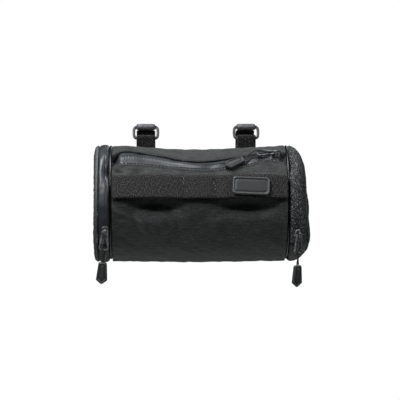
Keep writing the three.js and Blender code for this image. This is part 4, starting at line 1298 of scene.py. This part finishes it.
def cord_path(puller_at, tab_at):
    """The cord's middle: from the tab, over the puller's lower bar, through it and back."""
    beside = puller_thickness / 2 + piece_gap + cord_thickness / 2
    strand = cord_thickness / 2 + piece_gap / 2
    half = [
        (strand * 1.1, beside * 0.7, -puller_drop - cord_tail),
        (cord_spread, beside, -puller_drop),
        (cord_spread * 0.7, beside * 0.85, -puller_drop + 0.55 * hitch_length),
    ]
    route = [(-x, up, out) for x, out, up in half]
    route.append((0, -puller_drop + hitch_length, 0))
    route += [(x, up, -out) for x, out, up in reversed(half)]
    points = [tab_at @ Vector((-strand, piece_gap, 0))]
    points += [puller_at @ Vector(point) for point in route]
    points.append(tab_at @ Vector((strand, piece_gap, 0)))
    return np.array([list(point) for point in points])


def curved_line(points, count):
    """A smooth centripetal curve through the points."""
    rows = np.vstack([2 * points[0] - points[1], points, 2 * points[-1] - points[-2]])
    found = []
    for four in zip(rows, rows[1:], rows[2:], rows[3:]):
        spans = np.linalg.norm(np.diff(four, axis=0), axis=1) ** 0.5
        knots = np.concatenate([[0], np.cumsum(spans)])
        t = np.linspace(knots[1], knots[2], count, endpoint=False)[:, None]
        blended = four
        for starts, ends in (((0, 1, 2), (1, 2, 3)), ((0, 1), (2, 3)), ((1,), (2,))):
            blended = [
                ((knots[end] - t) * a + (t - knots[start]) * b) / (knots[end] - knots[start])
                for start, end, a, b in zip(starts, ends, blended, blended[1:])]
        found.append(blended[0])
    found.append(points[-1:])
    return np.vstack(found)


def braided_cord(name, path):
    """A cord with the criss-cross ridges of its braid, following a path."""
    ahead = unit(np.gradient(path, axis=0))
    aside = np.array([0.3, 1.0, 0.2])
    first = [unit(np.cross(ahead[0], aside))]
    for way in ahead[1:]:
        first.append(unit(first[-1] - way * (first[-1] @ way)))
    first = np.array(first)
    turn = 2 * np.pi * np.arange(cord_sides) / cord_sides
    phase = 2 * np.pi * distances(path)[:, None] / cord_braid
    plait = np.maximum(np.cos(phase + 2 * turn), np.cos(phase - 2 * turn))
    size = cord_thickness / 2 * (cord_core + plait_height * plait)
    points = path[:, None] + size[..., None] * round_section(turn, first, np.cross(ahead, first))
    return skin(name, points, ring=True)


def add_pull(name, slider_at, puller_at, tab_at):
    slider = plate(f"{name}_zinc_slider", slider_outline, slider_layers,
                   slider_at @ Matrix.Translation((0, 0, -hole_height)))
    fit(slider, lacquered_zinc, "zip_metal", f"{name}_slider")
    bridge_at = slider_at @ Matrix.Rotation(math.pi / 2, 4, "Z") @ Matrix.Rotation(math.pi / 2, 4, "X")
    bridge = frame_bar(f"{name}_zinc_bridge", bridge_outline, bridge_wire, bridge_width, bridge_at)
    fit(bridge, lacquered_zinc, "zip_metal")
    puller = frame_bar(f"{name}_zinc_puller", puller_outline, puller_wire, puller_thickness, puller_at)
    fit(puller, lacquered_zinc, "zip_metal", f"{name}_puller")
    cord = braided_cord(f"{name}_braided_cord", curved_line(cord_path(puller_at, tab_at), count=26))
    fit(cord, braided_polyester, "pull_cord", f"{name}_cord")
    tab = plate(f"{name}_rubber_tab", tab_outline, tab_layers, tab_at)
    fit(tab, moulded_rubber, "moulded_rubber", f"{name}_tab")


for end, shape in end_shapes.items():
    angle = np.array([float(slider_angle[end])])
    length = band_start + (band_end(shape, angle) - piece_gap - band_start) * shape["slider_across"]
    seat, above = [
        Vector(end_points(shape, angle, length, band_puff + height).reshape(3))
        for height in (piece_gap, piece_gap + 1 * mm)]
    normal = (above - seat).normalized()
    place = (Matrix.Translation(seat + normal * hole_height)
             @ Matrix.Rotation(math.atan2(normal.x, -normal.y), 4, "Z"))
    slider_at = place @ Matrix.Rotation(math.acos(normal.z), 4, "X")
    puller_at = (place @ Matrix.Rotation(math.pi / 2, 4, "X")
                 @ Matrix.Rotation(side_pull_lean[end], 4, "Z"))
    tab_at = puller_at @ Matrix.Translation((0, -puller_drop - cord_reach, 0))
    add_pull(f"{end}_pull", slider_at, puller_at, tab_at)

# The top pull's puller lies on the bag, and its tab rests lower down on the cloth.
angle = float(zip_line(np.array([top_slider_place]), teeth)[0])
radius = float(panel_radius(top_slider_place, angle)) + piece_gap + hole_height
basis = Matrix((outward(angle + 90), (1, 0, 0), outward(angle))).transposed().to_4x4()
slider_at = Matrix.Translation(
    on_barrel(left_seam + panel_length * top_slider_place, angle, radius)) @ basis
puller_at = slider_at @ Matrix.Rotation(top_puller_tilt, 4, "X")
radius = float(panel_radius(top_tab_place, top_tab_angle)) + tab_thickness / 2 + 2 * piece_gap
tab_middle = Vector(on_barrel(left_seam + panel_length * top_tab_place, top_tab_angle, radius))
tab_turned = (Matrix.Rotation(math.radians(top_tab_angle), 4, "X")
              @ Matrix.Rotation(math.radians(top_tab_turn - 90), 4, "Z"))
tab_top = tab_turned @ Vector((0, tab_length / 2, 0))
add_pull("top_pull", slider_at, puller_at, Matrix.Translation(tab_middle + tab_top) @ tab_turned)
